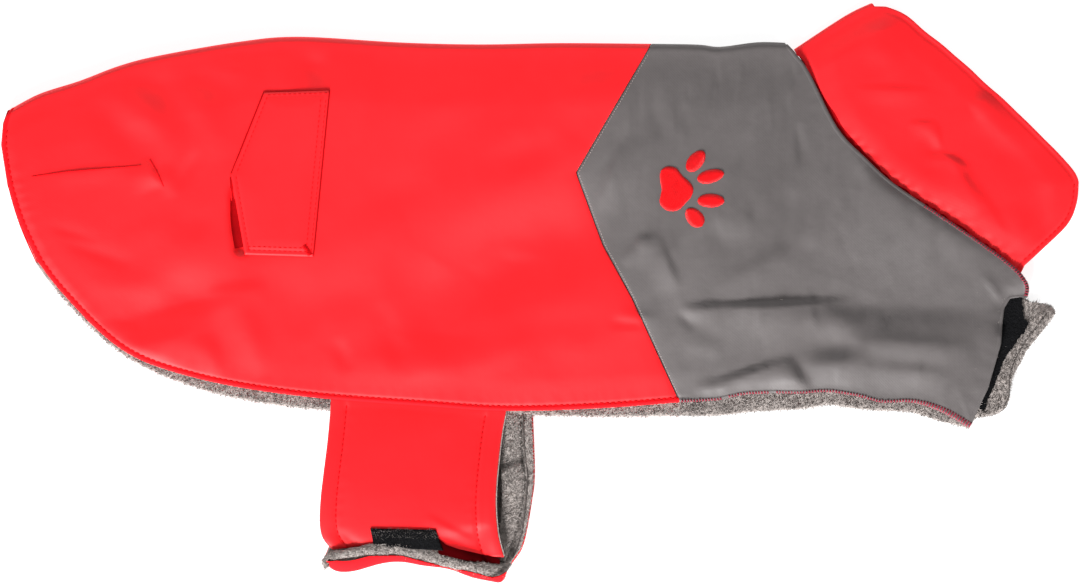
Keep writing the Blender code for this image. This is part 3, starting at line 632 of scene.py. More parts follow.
# %% Rows and columns of the panels
FOLD_ROWS = 5  # rows that take the turn round the back fold
FOLD_CLEAR = 1.0  # the first row after the turn
NEAR_WIDTH, FAR_WIDTH = 180.0, 190.0  # from the fold to the hem, nearly
BACK_LENGTH, YOKE_LENGTH = 326.0, 150.0
HEM_STEPS = (4.4, 3.4, 2.8, 2.3, 1.7, 1.1, 0.5, 0.0)
SEAM_STEPS = (0.1, 0.4, 0.9, 1.6, 2.6, 4.0)


def steps_between(count, length, before_end, after_start=()):
    """Shares from 0 to 1, even in the middle and closer at given distances from the ends."""
    first = np.array(after_start) / length
    last = 1 - np.array(before_end) / length
    start = first[-1] if len(first) else 0.0
    return np.unique(np.r_[0.0, first, np.linspace(start, last[0], count), last])


def panel_points(patterns, panel, u, row, near_steps, far_steps):
    """Places in the unfolded plane. Rows run from the far hem over the fold to the near hem."""
    middle = len(far_steps) + FOLD_ROWS
    near, far = patterns[panel]
    xw = np.empty((len(u), 2))
    for pattern, steps, rows in ((near, near_steps, row - middle), (far, far_steps, middle - row)):
        mask = rows >= 0
        at, k = u[mask], rows[mask]
        lengths = np.abs(pattern(at, np.ones(len(at)))[:, 1])
        arc = np.minimum(k, FOLD_ROWS) / FOLD_ROWS * QUARTER / lengths
        start = (QUARTER + FOLD_CLEAR) / lengths
        even = start + (1 - start) * steps[np.maximum(k - FOLD_ROWS - 1, 0)]
        xw[mask] = pattern(at, np.where(k <= FOLD_ROWS, arc, even))
    return xw


# %% Back and yoke
SHELL_INSET = 1.2  # the panels stop this far inside their edge, under the hem
near_steps = steps_between(104, NEAR_WIDTH, HEM_STEPS)
far_steps = steps_between(24, FAR_WIDTH, (6.0, 2.0, 0.0))
back_us = steps_between(190, BACK_LENGTH, (4.0, 2.6, 1.6, 0.9, 0.4, 0.12), HEM_STEPS[-2::-1])
yoke_us = steps_between(112, YOKE_LENGTH, HEM_STEPS, SEAM_STEPS)
shell_patterns = panel_patterns(SHELL_INSET, FAR_SHELL_INSET, 0.1)


def shell_place(panel, us):
    """Back and yoke each stop one column short of the pointed seam."""

    def place(column, row, depth):
        u = np.clip(us[column], us[1] if panel == "yoke" else 0.0, us[-2] if panel == "back" else 1.0)
        xw = panel_points(shell_patterns, panel, u, row, near_steps, far_steps)
        return body(xw[:, 0], xw[:, 1], -depth), xw

    return place


body_rows = len(near_steps) + len(far_steps) + 2 * FOLD_ROWS
back_panel = cloth("back_shell", len(back_us) - 1, body_rows, shell_place("back", back_us), (0.0, SHELL))
yoke_panel = cloth("yoke_shell", len(yoke_us) - 1, body_rows, shell_place("yoke", yoke_us), (0.0, SHELL))

# %% [markdown]
# ## Fleece lining
#
# The lining shows as a strip of grey fleece below the near hem, because the far half lies a little
# lower, and on the far chest flap, where it curls up. It is a wall like the shell, two millimetres
# thick, with rows that are close where it shows, a rounded edge and small lumps on its face.

# %% The lining's patterns
LINING_EDGE, LINING_TAIL_EDGE = 0.1, 0.8  # how far inside the outline it stops
LINING_BACK_COLUMNS, LINING_YOKE_COLUMNS = 160, 84
FLEECE_EDGE = 1.1  # radius of its rounded edge
NO_EDGE = 99.0  # a distance at which no edge is rounded
LINING_STEPS = (18, 16, 14, 12, 10.5, 9, 7.5, 6, 5, 4, 3, 2.2, 1.5, 1.0, 0.6, 0.3, 0.1, 0.0)
lining_patterns = panel_patterns(1.6, LINING_EDGE, LINING_TAIL_EDGE)
lining_far = steps_between(26, FAR_WIDTH, LINING_STEPS)
lining_near = steps_between(34, NEAR_WIDTH, (3.0, 1.5, 0.6, 0.0))
far_outline = Line(np.vstack([
    lipped(FAR_TAIL, LINING_TAIL_EDGE).points, lipped(BACK_HEM, LINING_EDGE).points,
    lipped(YOKE_HEM, LINING_EDGE).points[1:], Line(FAR_CHEST_END).shifted(-LINING_EDGE).points[1:],
    np.array(FAR_CHEST_TOP)[::-1],
]))

# %% The lining


def rounded(distance, radius):
    """How far a rounded edge falls away from its face, at a distance from the edge."""
    inside = np.clip(1 - distance / radius, 0, 1)
    return radius * (1 - np.sqrt(1 - inside**2))


def fleece_relief(at):
    """Small soft lumps of the pile."""
    x, y = at[:, 0], at[:, 1]
    lumps = np.sin(2.9 * x + 1.3 * np.sin(1.7 * y)) * np.sin(2.3 * y + 1.1 * np.sin(1.9 * x + 2.0))
    return 0.10 * lumps + 0.06 * np.sin(6.1 * x + 2 * np.sin(4.3 * y)) * np.sin(5.3 * y + 1.0)


def lining_place(column, row, depth):
    """One grid for back and yoke, so the fleece has no seam below the pointed one."""
    back = column <= LINING_BACK_COLUMNS
    u = np.where(back, column / LINING_BACK_COLUMNS, (column - LINING_BACK_COLUMNS) / LINING_YOKE_COLUMNS)
    xw = np.empty((len(column), 2))
    for panel, mask in (("back", back), ("yoke", ~back)):
        xw[mask] = panel_points(lining_patterns, panel, u[mask], row[mask], lining_near, lining_far)
    flat = flat_place(xw[:, 0], xw[:, 1])
    far, inner = xw[:, 1] < -QUARTER, depth > LINING_DEPTHS[0]
    fall = rounded(np.where(far, far_outline.nearest(flat)[0], NO_EDGE), FLEECE_EDGE)
    points = body(xw[:, 0], xw[:, 1], -np.where(inner, depth - fall, depth + fall * 0.6))
    points[:, 2] += np.where(far & inner, fleece_relief(flat), 0.0)
    return points, xw


lining_rows = len(lining_near) + len(lining_far) + 2 * FOLD_ROWS
lining = cloth("fleece_lining", LINING_BACK_COLUMNS + LINING_YOKE_COLUMNS, lining_rows, lining_place, LINING_DEPTHS)

# %% [markdown]
# ## Rolled hems
#
# At a bagged hem the shell turns over the edge and a row of stitches holds it down, so the edge reads
# as a soft roll beside a groove. A bevelled edge would be too even. The roll is a strip swept along the
# edge: a grid whose rows follow the edge and whose columns go once round the roll's section.

# %% A tube swept along an edge


def swept(name, length_steps, around, place):
    """A tube. place(step, index) gives points in mm and their places in the flat cut."""
    bm = bmesh.new()
    bmesh.ops.create_grid(bm, x_segments=length_steps, y_segments=around, size=0.5)
    mesh = new_mesh(name, bm)
    grid = vertex_places(mesh)
    return finish_mesh(mesh, *place(grid_steps(grid, 0, length_steps), grid_steps(grid, 1, around) % around))


def resampled(points, spacing=1.0):
    """The same line with even steps."""
    line = Line(points)
    return line.at(np.linspace(0, 1, max(int(line.length / spacing), 2) + 1))


# %% Section of the hem's roll
ROLL = [  # distance inside the edge, height over the outer face
    (2.5, -0.35), (2.1, 0.02), (1.6, 0.2), (1, 0.16), (0.5, -0.08),
    (0.14, -0.5), (0, -1.1), (0.2, -1.7), (0.8, -2.1), (2.4, -2.2),
]
ROLL_SEAT = 1.6  # this far inside the edge, the near cloth's height carries the whole roll
FAR_ROLL_DEPTH = -1.1  # the far shell's roll is thin, as the fleece covers it


def hem_roll(name, points, side, swell=1.0):
    """A roll along an edge in the unfolded plane. The cloth is on its right with side 1, else on its left."""
    path = resampled(points)
    inward = side * sideways(path)
    section = np.array(ROLL)

    def place(step, index):
        inset, height = section[index].T
        height = np.where(height > 0, height * swell, height)
        xw = path[step] + inward[step] * inset[:, None]
        height = np.where(path[step, 1] < 0, np.clip(height, FAR_ROLL_DEPTH, 0.0), height)
        seat = body(*(path[step] + inward[step] * ROLL_SEAT).T, height)
        placed = body(*xw.T, height)
        near = path[step, 1] > QUARTER
        placed[near, 2] = seat[near, 2]
        return placed, xw

    return swept(name, len(path) - 1, len(ROLL), place)


# %% Hems of back and yoke
back_edge = np.vstack([
    unfolded(smooth(BACK_HEM)[::-1], 1), unfolded(smooth([BACK_FOLD[0]] + TAIL_EDGE)[::-1], 1)[1:-1],
    [(BACK_FOLD[0][0], 0.0)],
    unfolded(lipped(FAR_TAIL, 0.1).points[1:], -1), unfolded(lipped(BACK_HEM, FAR_SHELL_INSET).points[6:], -1),
])
back_hem = hem_roll("back_hem", back_edge, -1)

yoke_near_edge = np.vstack([
    unfolded(smooth(YOKE_HEM), 1), unfolded(CHEST_END[1:], 1), unfolded(smooth(NECK_EDGE)[::-1][1:-1], 1),
])
yoke_hem = hem_roll("yoke_hem", yoke_near_edge, 1, 0.2)
yoke_far_edge = np.vstack([
    unfolded(lipped(YOKE_HEM, FAR_SHELL_INSET).points, -1),
    unfolded(smooth(FAR_CHEST_END)[1:], -1), unfolded(FAR_CHEST_TOP[::-1][1:], -1),
])
far_yoke_hem = hem_roll("far_yoke_hem", yoke_far_edge, -1)

# %% [markdown]
# ## Collar
#
# The collar is a band of two plies, folded in half at the centre back. Its base runs in under the near
# neck edge, where it is gathered, so small puckers cross it there. The rest of it puffs up a little, and
# it keeps the creases of having been folded. One wall serves for both plies, as no one sees between them.

# %% Collar tables
COLLAR_FOLD = [(128.6, 123.4), (154.7, 140.5), (168.4, 147.1)]
COLLAR_OUTER_EDGE = [
    (168.4, 147.1), (180.1, 143.5), (191.8, 135.4), (213.1, 117.6), (244.1, 89.2), (268.5, 64.3), (273, 56.1),
]
COLLAR_FRONT_END = [(244.1, 12.4), (255.8, 23.1), (267.5, 34.8), (272.0, 45.5), (273.0, 56.1)]
COLLAR_RADIUS = 2.15
COLLAR_WALLS = (0.0, 1.9)
COLLAR_TUCK = 3.0  # the base runs this far under the near neck edge
COLLAR_CLEAR = 0.6  # and stands this far off it at the back fold
COLLAR_END = 0.85  # share of the neck line at which the collar stops
COLLAR_EDGE = 0.8  # radius of its turned edges
COLLAR_PUFF = 1.5
COLLAR_POINTS = 60  # points of its base and outer edge
COLLAR_SPREAD = 60  # how fast both come out of the turn of the back fold
COLLAR_LENGTH, COLLAR_HEIGHT = 190, 56  # of one half, laid flat
COLLAR_CREASES = crease_table([
    (921, 124, 15, 6, 2, 0.8, 0.6), (937, 136, 16, 6, -78, 0.9, 0.6), (930, 147, 18, 9, -66, -0.7),
    (952, 161, 20, 6, -28, 1, 0.5), (934, 158, 12, 6, -20, 0.5, 0.3), (963, 184, 34, 16, -60, 2, 0.5),
    (988, 212, 34, 12, -58, 1, 0.5), (892, 91, 46, 8, -2, 0.8, 0.5), (885, 80, 44, 20, 10, 0.6, 0.3),
    (982, 102, 16, 12, 30, 1.2, 0.3), (1040, 215, 34, 12, 82, -1.2), (885, 54, 30, 16, -40, 1.2),
    (1010, 150, 50, 20, -48, -1.2), (1000, 128, 40, 14, -44, 1), (915, 180, 54, 20, -40, 0.8),
    (860, 120, 40, 18, -60, 0.8), (1020, 230, 30, 14, -62, 1),
])

# %% [markdown]
# The collar's back fold stands at a slant, so a half turn about that line carries one half over to the
# other. The two long edges start inside the turn and leave it along a smooth line.

# %% One half of the collar, pressed flat
out_of_fold = np.array(COLLAR_FOLD[-1]) - COLLAR_FOLD[0]
out_of_fold = np.array((-out_of_fold[1], out_of_fold[0])) / np.linalg.norm(out_of_fold)


def clear_of_fold(line):
    """The line with its first points kept inside the turn of the back fold."""
    inside = (COLLAR_FOLD[0] - line.points) @ out_of_fold
    lack = np.maximum(COLLAR_RADIUS + COLLAR_SPREAD * line.shares - inside, 0)
    return Line(line.points - out_of_fold * lack[:, None], line.shares)


tuck = -COLLAR_CLEAR + (COLLAR_TUCK + COLLAR_CLEAR) * np.clip((far_neck_line.shares - 0.06) / 0.07, 0, 1)
collar_base = Line(far_neck_line.shifted(tuck).at(np.linspace(0, COLLAR_END, COLLAR_POINTS)))
along_edge = np.linspace(0, 1, COLLAR_POINTS)
ripple = 0.45 * np.sin(along_edge * 34) * np.sin(along_edge * 9) * (1 - along_edge)
collar_outer = Line(Line(smooth(COLLAR_OUTER_EDGE)).at(along_edge)).shifted(ripple)
collar_fold = Line(smooth(COLLAR_FOLD) - out_of_fold * COLLAR_RADIUS)
collar_front = Line(smooth(COLLAR_FRONT_END))
collar_base = clear_of_fold(collar_base).from_point(collar_fold.at(0.0))
collar_outer = clear_of_fold(collar_outer).from_point(collar_fold.at(1.0)).to_point(collar_front.at(1.0))
collar_at = patch(collar_fold, collar_front.from_point(collar_base.at(1.0)), collar_base, collar_outer)
collar_free_edge = Line(np.vstack([collar_outer.points, collar_front.points[::-1][1:]]))
print(f"collar: base {collar_base.length:.0f} mm, outer edge {collar_outer.length:.0f} mm, each half")

# %% How the collar rises


def collar_rise(at):
    """Rise of the collar's near half over a collar pressed flat."""
    to_base, along = collar_base.nearest(at)
    to_edge = collar_free_edge.nearest(at)[0]
    lift = COLLAR_PUFF * smoothstep(to_base / 16) * smoothstep(to_edge / 14) + 1.7 * smoothstep(to_base / 4.5)
    along = along * collar_base.length
    pucker = np.sin(along * 0.8 + 1.6 * np.sin(along * 0.21)) - 0.4
    lift += 0.4 * pucker * bell(to_base - 4.5, 2.6) * smoothstep((along - 30) / 40)
    lift -= 0.35 * bell(to_edge - SEW_LINE, 0.9)
    return lift + crease_height(COLLAR_CREASES, at) * smoothstep(to_edge / 7)


def on_collar(at):
    """Height of the collar's upper face."""
    return 2 * COLLAR_RADIUS + collar_rise(at)


def collar_surface(u, v, turn, depth):
    """u runs from the base to the outer edge, v from the back fold to the front."""
    flat = collar_at(u, v)
    fall = rounded(collar_free_edge.nearest(flat)[0], COLLAR_EDGE)
    radius = COLLAR_RADIUS - depth + np.where(depth > 0.5, fall, -fall)
    at = flat + out_of_fold * (radius * np.cos(turn))[:, None]
    from_fold = smoothstep(((COLLAR_FOLD[0] - flat) @ out_of_fold - COLLAR_RADIUS) / 14)
    near = turn > 0
    z = COLLAR_RADIUS + radius * np.sin(turn)
    z[near] += collar_rise(flat[near]) * from_fold[near]
    return np.column_stack([at, z])


# %% Collar
COLLAR_FAR, COLLAR_ARC = 24, 8  # rows of the hidden half and of the turn
COLLAR_EDGE_STEPS = (4.0, 3.2, 2.6, 2.0, 1.5, 1.0, 0.6, 0.3, 0.1, 0.0)
collar_us = steps_between(56, COLLAR_HEIGHT, COLLAR_EDGE_STEPS, (0.5, 1.0, 2.0, 3.0))
collar_vs = steps_between(160, 180.0, COLLAR_EDGE_STEPS)


def collar_place(column, row, depth):
    u = collar_us[column]
    k = row - COLLAR_FAR
    turn = np.radians(np.clip(k / COLLAR_ARC, 0, 1) * 180 - 90)
    v = np.where(k < 0, -k / COLLAR_FAR, collar_vs[np.clip(k - COLLAR_ARC, 0, len(collar_vs) - 1)])
    w = np.where(k < 0, -1, 1) * v * COLLAR_LENGTH + (turn + math.pi / 2) * COLLAR_RADIUS
    return collar_surface(u, v, turn, depth), np.stack([w, u * COLLAR_HEIGHT], -1)


collar_rows = COLLAR_FAR + COLLAR_ARC + len(collar_vs) - 1
collar = cloth("collar_shell", len(collar_us) - 1, collar_rows, collar_place, COLLAR_WALLS)

# %% [markdown]
# ## Pocket flap
#
# A pointed flap is sewn to the back along its top and right edges. Its lower left edge gapes over the
# pocket's mouth. It is laid on the back's own face, so it keeps the folds of the cloth below it, and a
# small bag closes the mouth, so that no one looks between shell and lining. The bag's dark colour is painted shade
# in the open mouth.

# %% Pocket flap
FLAP_CORNERS = [(-140.0, 101.3), (-156.7, 59.7), (-149.6, 19.1), (-115.1, 18.0), (-106.9, 102.4), (-140.0, 101.3)]
FLAP_LEFT = Line(FLAP_CORNERS[:3], (0.0, 0.5, 1.0))
FLAP_RIGHT = Line(FLAP_CORNERS[4:2:-1])
FLAP_WALL, FLAP_EDGE, FLAP_GAPE = 1.0, 0.55, 1.5
FLAP_COLUMNS, FLAP_ROWS = 58, 108
flap_outline = Line(FLAP_CORNERS)


def flap_rise(at):
    """Height of the flap's face over the back."""
    u = (at[:, 0] + 157) / 45
    v = (101.5 - at[:, 1]) / 83
    to_edge = flap_outline.nearest(at)[0]
    gape = FLAP_GAPE * np.clip(1 - u, 0, 1) ** 1.6 * smoothstep((v - 0.35) / 0.3)
    rise = gape + 0.5 * smoothstep(to_edge / 9) - 0.3 * bell(to_edge - SEW_LINE, 0.8)
    return 0.05 + FLAP_WALL + rise


def on_flap(at):
    """Height of the flap's face. The pocket's mouth, which is a hollow of the back, doesn't reach it."""
    return near_top(at) + pocket_mouth(at) + flap_rise(at)


def flap_place(column, row, depth):
    u, v = (column / FLAP_COLUMNS)[:, None], row / FLAP_ROWS
    at = FLAP_LEFT.at(v) * (1 - u) + FLAP_RIGHT.at(v) * u
    fall = rounded(flap_outline.nearest(at)[0], FLAP_EDGE)
    return np.column_stack([at, on_flap(at) - np.where(depth > 0, depth - fall * 0.6, fall)]), at


pocket_flap = cloth("pocket_flap_shell", FLAP_COLUMNS, FLAP_ROWS, flap_place, (0.0, FLAP_WALL * 0.9))

# %% Pocket bag in the open mouth, dark with painted shade
BAG_COLUMNS, BAG_ROWS = 8, 50


def bag_place(column, row, depth):
    share = row / BAG_ROWS
    across = (2 * column / BAG_COLUMNS - 1) * mouth_width(share)
    at = POCKET_MOUTH.at(share) + POCKET_MOUTH.right(share) * across[:, None]
    return np.column_stack([at, near_top(at) + 0.35 - depth]), at


# The bag's dark finish is painted shade in the pocket's open mouth.
pocket_bag_painted_shade = cloth("pocket_bag_painted_shade", BAG_COLUMNS, BAG_ROWS, bag_place, (0.0, 0.3))

# %% [markdown]
# ## Belly strap
#
# The near strap comes out under the near hem and arches over the far one, and the two close with
# hook-and-loop tape. Each is a patch from the hem to the strap's end. The near one takes its arch from
# one short table of heights, which is plainer to set than a bent modifier, and its fleece lies inside.

# %% Near strap tables
NEAR_STRAP_LEFT = [(-106.2, -54.3), (-108, -75.4), (-111.5, -106.4), (-111, -122.2), (-105.4, -130.3)]
NEAR_STRAP_RIGHT = [(-17.5, -60.4), (-20.1, -75.4), (-22.6, -102.4), (-21.6, -121.2), (-18.5, -133.9)]
NEAR_STRAP_END = [
    (-105.4, -130.3), (-90.7, -128.4), (-78.5, -126.6), (-65.8, -127), (-53.6, -129.6), (-38.9, -134.6),
    (-18.5, -133.9),
]
NEAR_STRAP_RISE = [  # share of its length, height of its outer face
    (0, 5.6), (0.06, 6), (0.2, 7.9), (0.4, 10.4), (0.62, 12.2), (0.8, 12.7), (0.92, 12.5), (1, 11.8),
]
STRAP_CREASES = crease_table([
    (341, 520, 46, 7, 86, -0.7, 0.2), (478, 540, 20, 8, 70, -1, 0.2), (462, 535, 40, 10, 12, -0.9, 0.3),
    (400, 430, 70, 22, 10, 0.7), (430, 480, 60, 18, 70, -0.5), (350, 540, 30, 8, -35, -0.9, 0.2),
    (452, 530, 36, 6, -28, 0.8, 0.3), (336, 556, 30, 8, 5, -0.6), (472, 547, 46, 9, -22, -1.6, -0.4),
])
STRAP_WIDTH, STRAP_LENGTH = 88, 72
STRAP_SEWS = (8.0, 10.0)  # distance of the strap's topstitching from its left and right side
STRAP_ROUND = 0.45  # radius of its edges
near_hem_line = smooth(BACK_HEM)
strap_rise = smooth(NEAR_STRAP_RISE)

# %% A strap's patch


def strap_half(hem, left_side, right_side, end, under, inset=(0.0, 0.0)):
    """A strap's patch: u from left to right, v from the hem to its end."""
    left = Line(smooth(left_side)).shifted(-inset[0])
    right = Line(smooth(right_side)).shifted(inset[1])
    xs = np.linspace(left.points[0, 0], right.points[0, 0], 40)
    root = Line(np.stack([xs, np.interp(xs, hem[:, 0], hem[:, 1]) + under], -1))
    end = Line(smooth(end)).from_point(left.at(1.0)).to_point(right.at(1.0))
    return patch(root, end, left.from_point(root.at(0.0)), right.from_point(root.at(1.0)))


near_strap_at = strap_half(near_hem_line, NEAR_STRAP_LEFT, NEAR_STRAP_RIGHT, NEAR_STRAP_END, 1.2)

# %% Near strap


def near_strap_top(u, v):
    """Height of the near strap's outer face."""
    top = np.interp(v, *strap_rise.T)
    side = np.minimum(u, 1 - u) * STRAP_WIDTH
    sewn = side - np.where(u < 0.5, *STRAP_SEWS)
    top -= 1.3 * (2 * u - 1) ** 4 * smoothstep(v / 0.2)
    top -= 0.7 * bell(sewn, 1.0) * smoothstep(v / 0.05)
    top += 0.35 * bell(side - 3, 2.5)
    pucker = np.sin(v * 66 + 2 * np.sin(v * 9)) * bell(sewn - 2, 3)
    return top + 0.05 * pucker + crease_height(STRAP_CREASES, near_strap_at(u, v)) * smoothstep(v / 0.1)


def near_strap_place(grid, inset=0.0):
    """The strap's shell, or its fleece, which stops inside the shell's edges by a share of its width."""

    def place(column, row, depth):
        u = np.clip(column / grid[0], inset, 1 - inset)
        v = np.clip(row / grid[1], 0, 1 - inset)
        side = np.minimum(np.minimum(u, 1 - u) * STRAP_WIDTH, (1 - v) * STRAP_LENGTH) - inset * STRAP_WIDTH
        fall = rounded(np.maximum(side, 0), STRAP_ROUND)
        at = near_strap_at(u, v)
        z = near_strap_top(u, v) - depth - np.where(depth > 0, -fall * 0.8, fall)
        if inset:  # the fleece shows as a pale rim on the right
            at = at + np.stack([1.1 * smoothstep((u - 0.93) / 0.06), 0 * u], -1)
        return np.column_stack([at, z]), at

    return place


strap_grid, strap_lining_grid = (110, 90), (74, 60)
near_strap = cloth("strap_near_shell", *strap_grid, near_strap_place(strap_grid), (0.0, 0.85))
strap_fleece_place = near_strap_place(strap_lining_grid, 0.006)
near_strap_lining = cloth("strap_near_fleece", *strap_lining_grid, strap_fleece_place, (0.9, 2.7))

# %% [markdown]
# The far strap lies with its fleece up, and its end turns up and round the near strap's end. Past the
# last flat row, the rows go round a half circle. How far they turn is read from the line where the red
# band ends in the photograph.

# %% Far strap tables
FAR_STRAP_LEFT = [(-92.7, -61.3), (-95, -85), (-101, -112), (-109.5, -133.9)]
FAR_STRAP_RIGHT = [(-3.8, -62.2), (-2.8, -91.2), (-4.3, -106.4), (-8.3, -127.3), (-12.9, -135.6), (-17.2, -140.8)]
FAR_STRAP_END = [
    (-109.5, -133.9), (-96.3, -134.5), (-80.5, -130.4), (-70.4, -129.6), (-59.7, -131.4), (-46.5, -133.2),
    (-33.8, -137.6), (-17.2, -140.8),
]
TURN_RADIUS = 7.0
LIP_LOWER = [  # where the red band ends and the fleece lip begins, in the flat view
    (-109, -137.6), (-103, -135.6), (-85.6, -133.4), (-70.4, -133.4), (-59.7, -136.4), (-49.5, -139),
    (-33.8, -142), (-24.4, -144.6), (-18.4, -143.2), (-14.8, -139.8),
]
LIP_UPPER = [
    (-110.5, -136.6), (-104.4, -131.4), (-90.7, -128.4), (-78.5, -126.6), (-65.8, -127), (-53.6, -129.8),
    (-38.9, -135.9), (-25.6, -137), (-14.2, -136.2),
]
FLEECE_WRINKLES = crease_table([
    (506, 512, 44, 6, 86, -0.8, 0, 2), (512, 440, 30, 10, 80, 0.8), (522.5, 508, 66, 4, 79, -1.4),
    (521.8, 440, 56, 3, 90, -1.2), (529, 500, 66, 5, 88, 0.7, 0.2, -1),
])
FLEECE_SEW = 5.2  # distance of the stitched groove from the far strap's sides
FAR_STRAP_COLUMNS, FAR_STRAP_FLAT, FAR_STRAP_TURN = 116, 62, 20  # columns, flat rows, turned rows
LEAST_RADIUS = 0.4  # of the turn's inner faces
far_hem_line = lipped(BACK_HEM, 0.3).points

# %% Far strap


def turn_limit(x, y):
    """The angle by which the far strap's end turns up, so that the red band ends at its line."""
    lower = np.interp(x, *np.array(LIP_LOWER).T)
    return math.pi - np.arcsin(np.clip((y - lower) / TURN_RADIUS, 0.18, 0.97))


def far_strap_place(half, rounding, relief):
    """The far strap's shell, or its fleece with relief: wrinkles, a stitched groove and pile."""

    def place(column, row, depth):
        u = column / FAR_STRAP_COLUMNS
        flat = half(u, np.minimum(row / FAR_STRAP_FLAT, 1.0))
        share = np.maximum(row - FAR_STRAP_FLAT, 0) / FAR_STRAP_TURN
        turn = share * turn_limit(flat[:, 0], flat[:, 1])
        side = np.minimum(u, 1 - u) * STRAP_WIDTH
        fall = rounded(side, rounding)
        depth = np.where(depth > rounding * 1.5, depth - fall, depth + fall * 0.5)
        if relief:
            raised = crease_height(FLEECE_WRINKLES, flat) * (share == 0) - 0.9 * bell(side - FLEECE_SEW, 0.8)
            depth = depth + np.where(depth > 2.0, np.maximum(raised, -1.5) + fleece_relief(flat), 0.0)
        radius = np.maximum(TURN_RADIUS - depth, LEAST_RADIUS)
        ends = np.clip(np.minimum(u / 0.09, (1 - u) / 0.05), 0, 1)
        end = np.sqrt(np.clip(1 - (1 - ends) ** 2, 0.06, 1))  # the ends of the turn are rounded
        y = flat[:, 1] - radius * np.sin(turn) * end
        z = np.where(share > 0, TURN_RADIUS - radius * np.cos(turn), depth)
        return np.column_stack([flat[:, 0], y, z]), flat - np.stack([0 * turn, turn * TURN_RADIUS], -1)

    return place


far_sides = FAR_STRAP_LEFT, FAR_STRAP_RIGHT, FAR_STRAP_END
shell_place_far = far_strap_place(strap_half(far_hem_line, *far_sides, 1.0), 0.4, False)
fleece_place_far = far_strap_place(strap_half(far_hem_line, *far_sides, 1.0, (0.3, 0.9)), 0.9, True)
far_grid = FAR_STRAP_COLUMNS, FAR_STRAP_FLAT + FAR_STRAP_TURN
far_strap = cloth("strap_far_shell", *far_grid, shell_place_far, (0.0, 0.9))
far_strap_lining = cloth("strap_far_fleece", *far_grid, fleece_place_far, (1.0, 3.1))

# %% [markdown]
# The fleece swells out of the turned end as a fat lip, too uneven for the strap's own wall. It is a tube
# swept between two lines of the photograph, as thick as the space between them.

# %% Fleece lip of the far strap
LIP_STEPS, LIP_AROUND = 150, 20
LIP_HEIGHT = 1.9  # half its thickness


def lip_place(step, index):
    share = step / LIP_STEPS
    lower, upper = Line(smooth(LIP_LOWER)).at(share), Line(smooth(LIP_UPPER)).at(share)
    middle, half = (lower + upper) / 2, (upper - lower) / 2
    swell = 1.0 + 0.10 * np.sin(share * 31 + 1.2 * np.sin(share * 17)) + 0.06 * np.sin(share * 83)
    ends = np.sqrt(np.clip(1 - (2 * share - 1) ** 16, 0.02, 1))
    strap_end = np.interp(lower[:, 0], *np.array(FAR_STRAP_END).T)
    z = TURN_RADIUS - (TURN_RADIUS - 1.6) * np.cos(turn_limit(lower[:, 0], strap_end)) - 0.6
    z -= 4.0 * np.clip(1 - share / 0.05, 0, 1) + 5.5 * smoothstep((share - 0.86) / 0.14)
    angle = index / LIP_AROUND * 2 * math.pi
    at = middle + half * (np.cos(angle) * swell * ends * 1.06)[:, None]
    lumps = fleece_relief(np.stack([share * 110, angle * 3], -1)) * 1.3
    z += (LIP_HEIGHT * swell * ends + lumps) * np.sin(angle)
    return np.column_stack([at, z]), np.stack([share * 90, angle * 3], -1)


strap_lip = swept("strap_lip_fleece", LIP_STEPS, LIP_AROUND, lip_place)

# %% [markdown]
# A ply of the far strap's fleece bulges out between the two straps. It is a small domed patch of its own.

# %% Tongue of fleece between the straps
TONGUE_LEFT = Line(pixels((501, 466), (502, 480), (502, 505), (500, 528), (499, 548), (501, 560)))
TONGUE_RIGHT = Line(pixels(
    (513, 460.5), (521, 463), (524.5, 473), (524, 488), (520.5, 508), (515, 530), (509, 552), (506, 561)))
TONGUE_COLUMNS, TONGUE_ROWS = 36, 110
TONGUE_BASE, TONGUE_DOME = 2.9, 2.5


def tongue_place(column, row, depth):
    u, v = column / TONGUE_COLUMNS, row / TONGUE_ROWS
    at = TONGUE_LEFT.at(v) * (1 - u)[:, None] + TONGUE_RIGHT.at(v) * u[:, None]
    dome = np.clip(1 - np.abs(1.5 * u - 0.5) ** 4, 0, 1) * smoothstep(v / 0.1) * (1 - 0.4 * v)
    z = TONGUE_BASE + np.where(depth > 0, 0.0, TONGUE_DOME * dome + 0.8 * fleece_relief(at))
    return np.column_stack([at, z]), at


strap_tongue = cloth("strap_tongue_fleece", TONGUE_COLUMNS, TONGUE_ROWS, tongue_place, (0.0, 1.0))

# %% [markdown]
# ## Hook-and-loop tape
#
# One short strip sits on the near strap, one on the far chest flap, mostly under the near flap. Each
# strip follows the face that it is sewn to, so it needs that face's height at its own places. The
# strap's height is known by (u, v) alone, so a few corrected guesses find those first.

# %% Tape on the near strap
STRAP_TAPE = [(-86.1, -119.3), (-53.1, -120.0), (-49.2, -130.6), (-84.3, -128.6)]
TAPE = 1.1  # thickness of tape and hooks
STRAP_TAPE_GRID = (64, 16)


def strap_place_of(at):
    """The strap's own (u, v) of points seen from above, found by correcting a first guess."""
    u, v = np.full(len(at), 0.5), np.full(len(at), 0.5)
    for _ in range(14):
        error = at - near_strap_at(u, v)
        u = np.clip(u + error[:, 0] / STRAP_WIDTH, 0, 1)
        v = np.clip(v - error[:, 1] / STRAP_LENGTH, 0, 1)
    return u, v


def on_strap(at):
    return near_strap_top(*strap_place_of(at))


def strap_tape_place(column, row, depth):
    u, v = (column / STRAP_TAPE_GRID[0])[:, None], (row / STRAP_TAPE_GRID[1])[:, None]
    a, b, c, d = np.array(STRAP_TAPE)
    at = (a * (1 - u) + b * u) * (1 - v) + (d * (1 - u) + c * u) * v
    edge = np.minimum(np.minimum(u, 1 - u) * 32, np.minimum(v, 1 - v) * 6)[:, 0]
    fall = np.where(depth > 0, 0.0, rounded(edge, 0.4))
    return np.column_stack([at, on_strap(at) + TAPE - depth - fall]), at


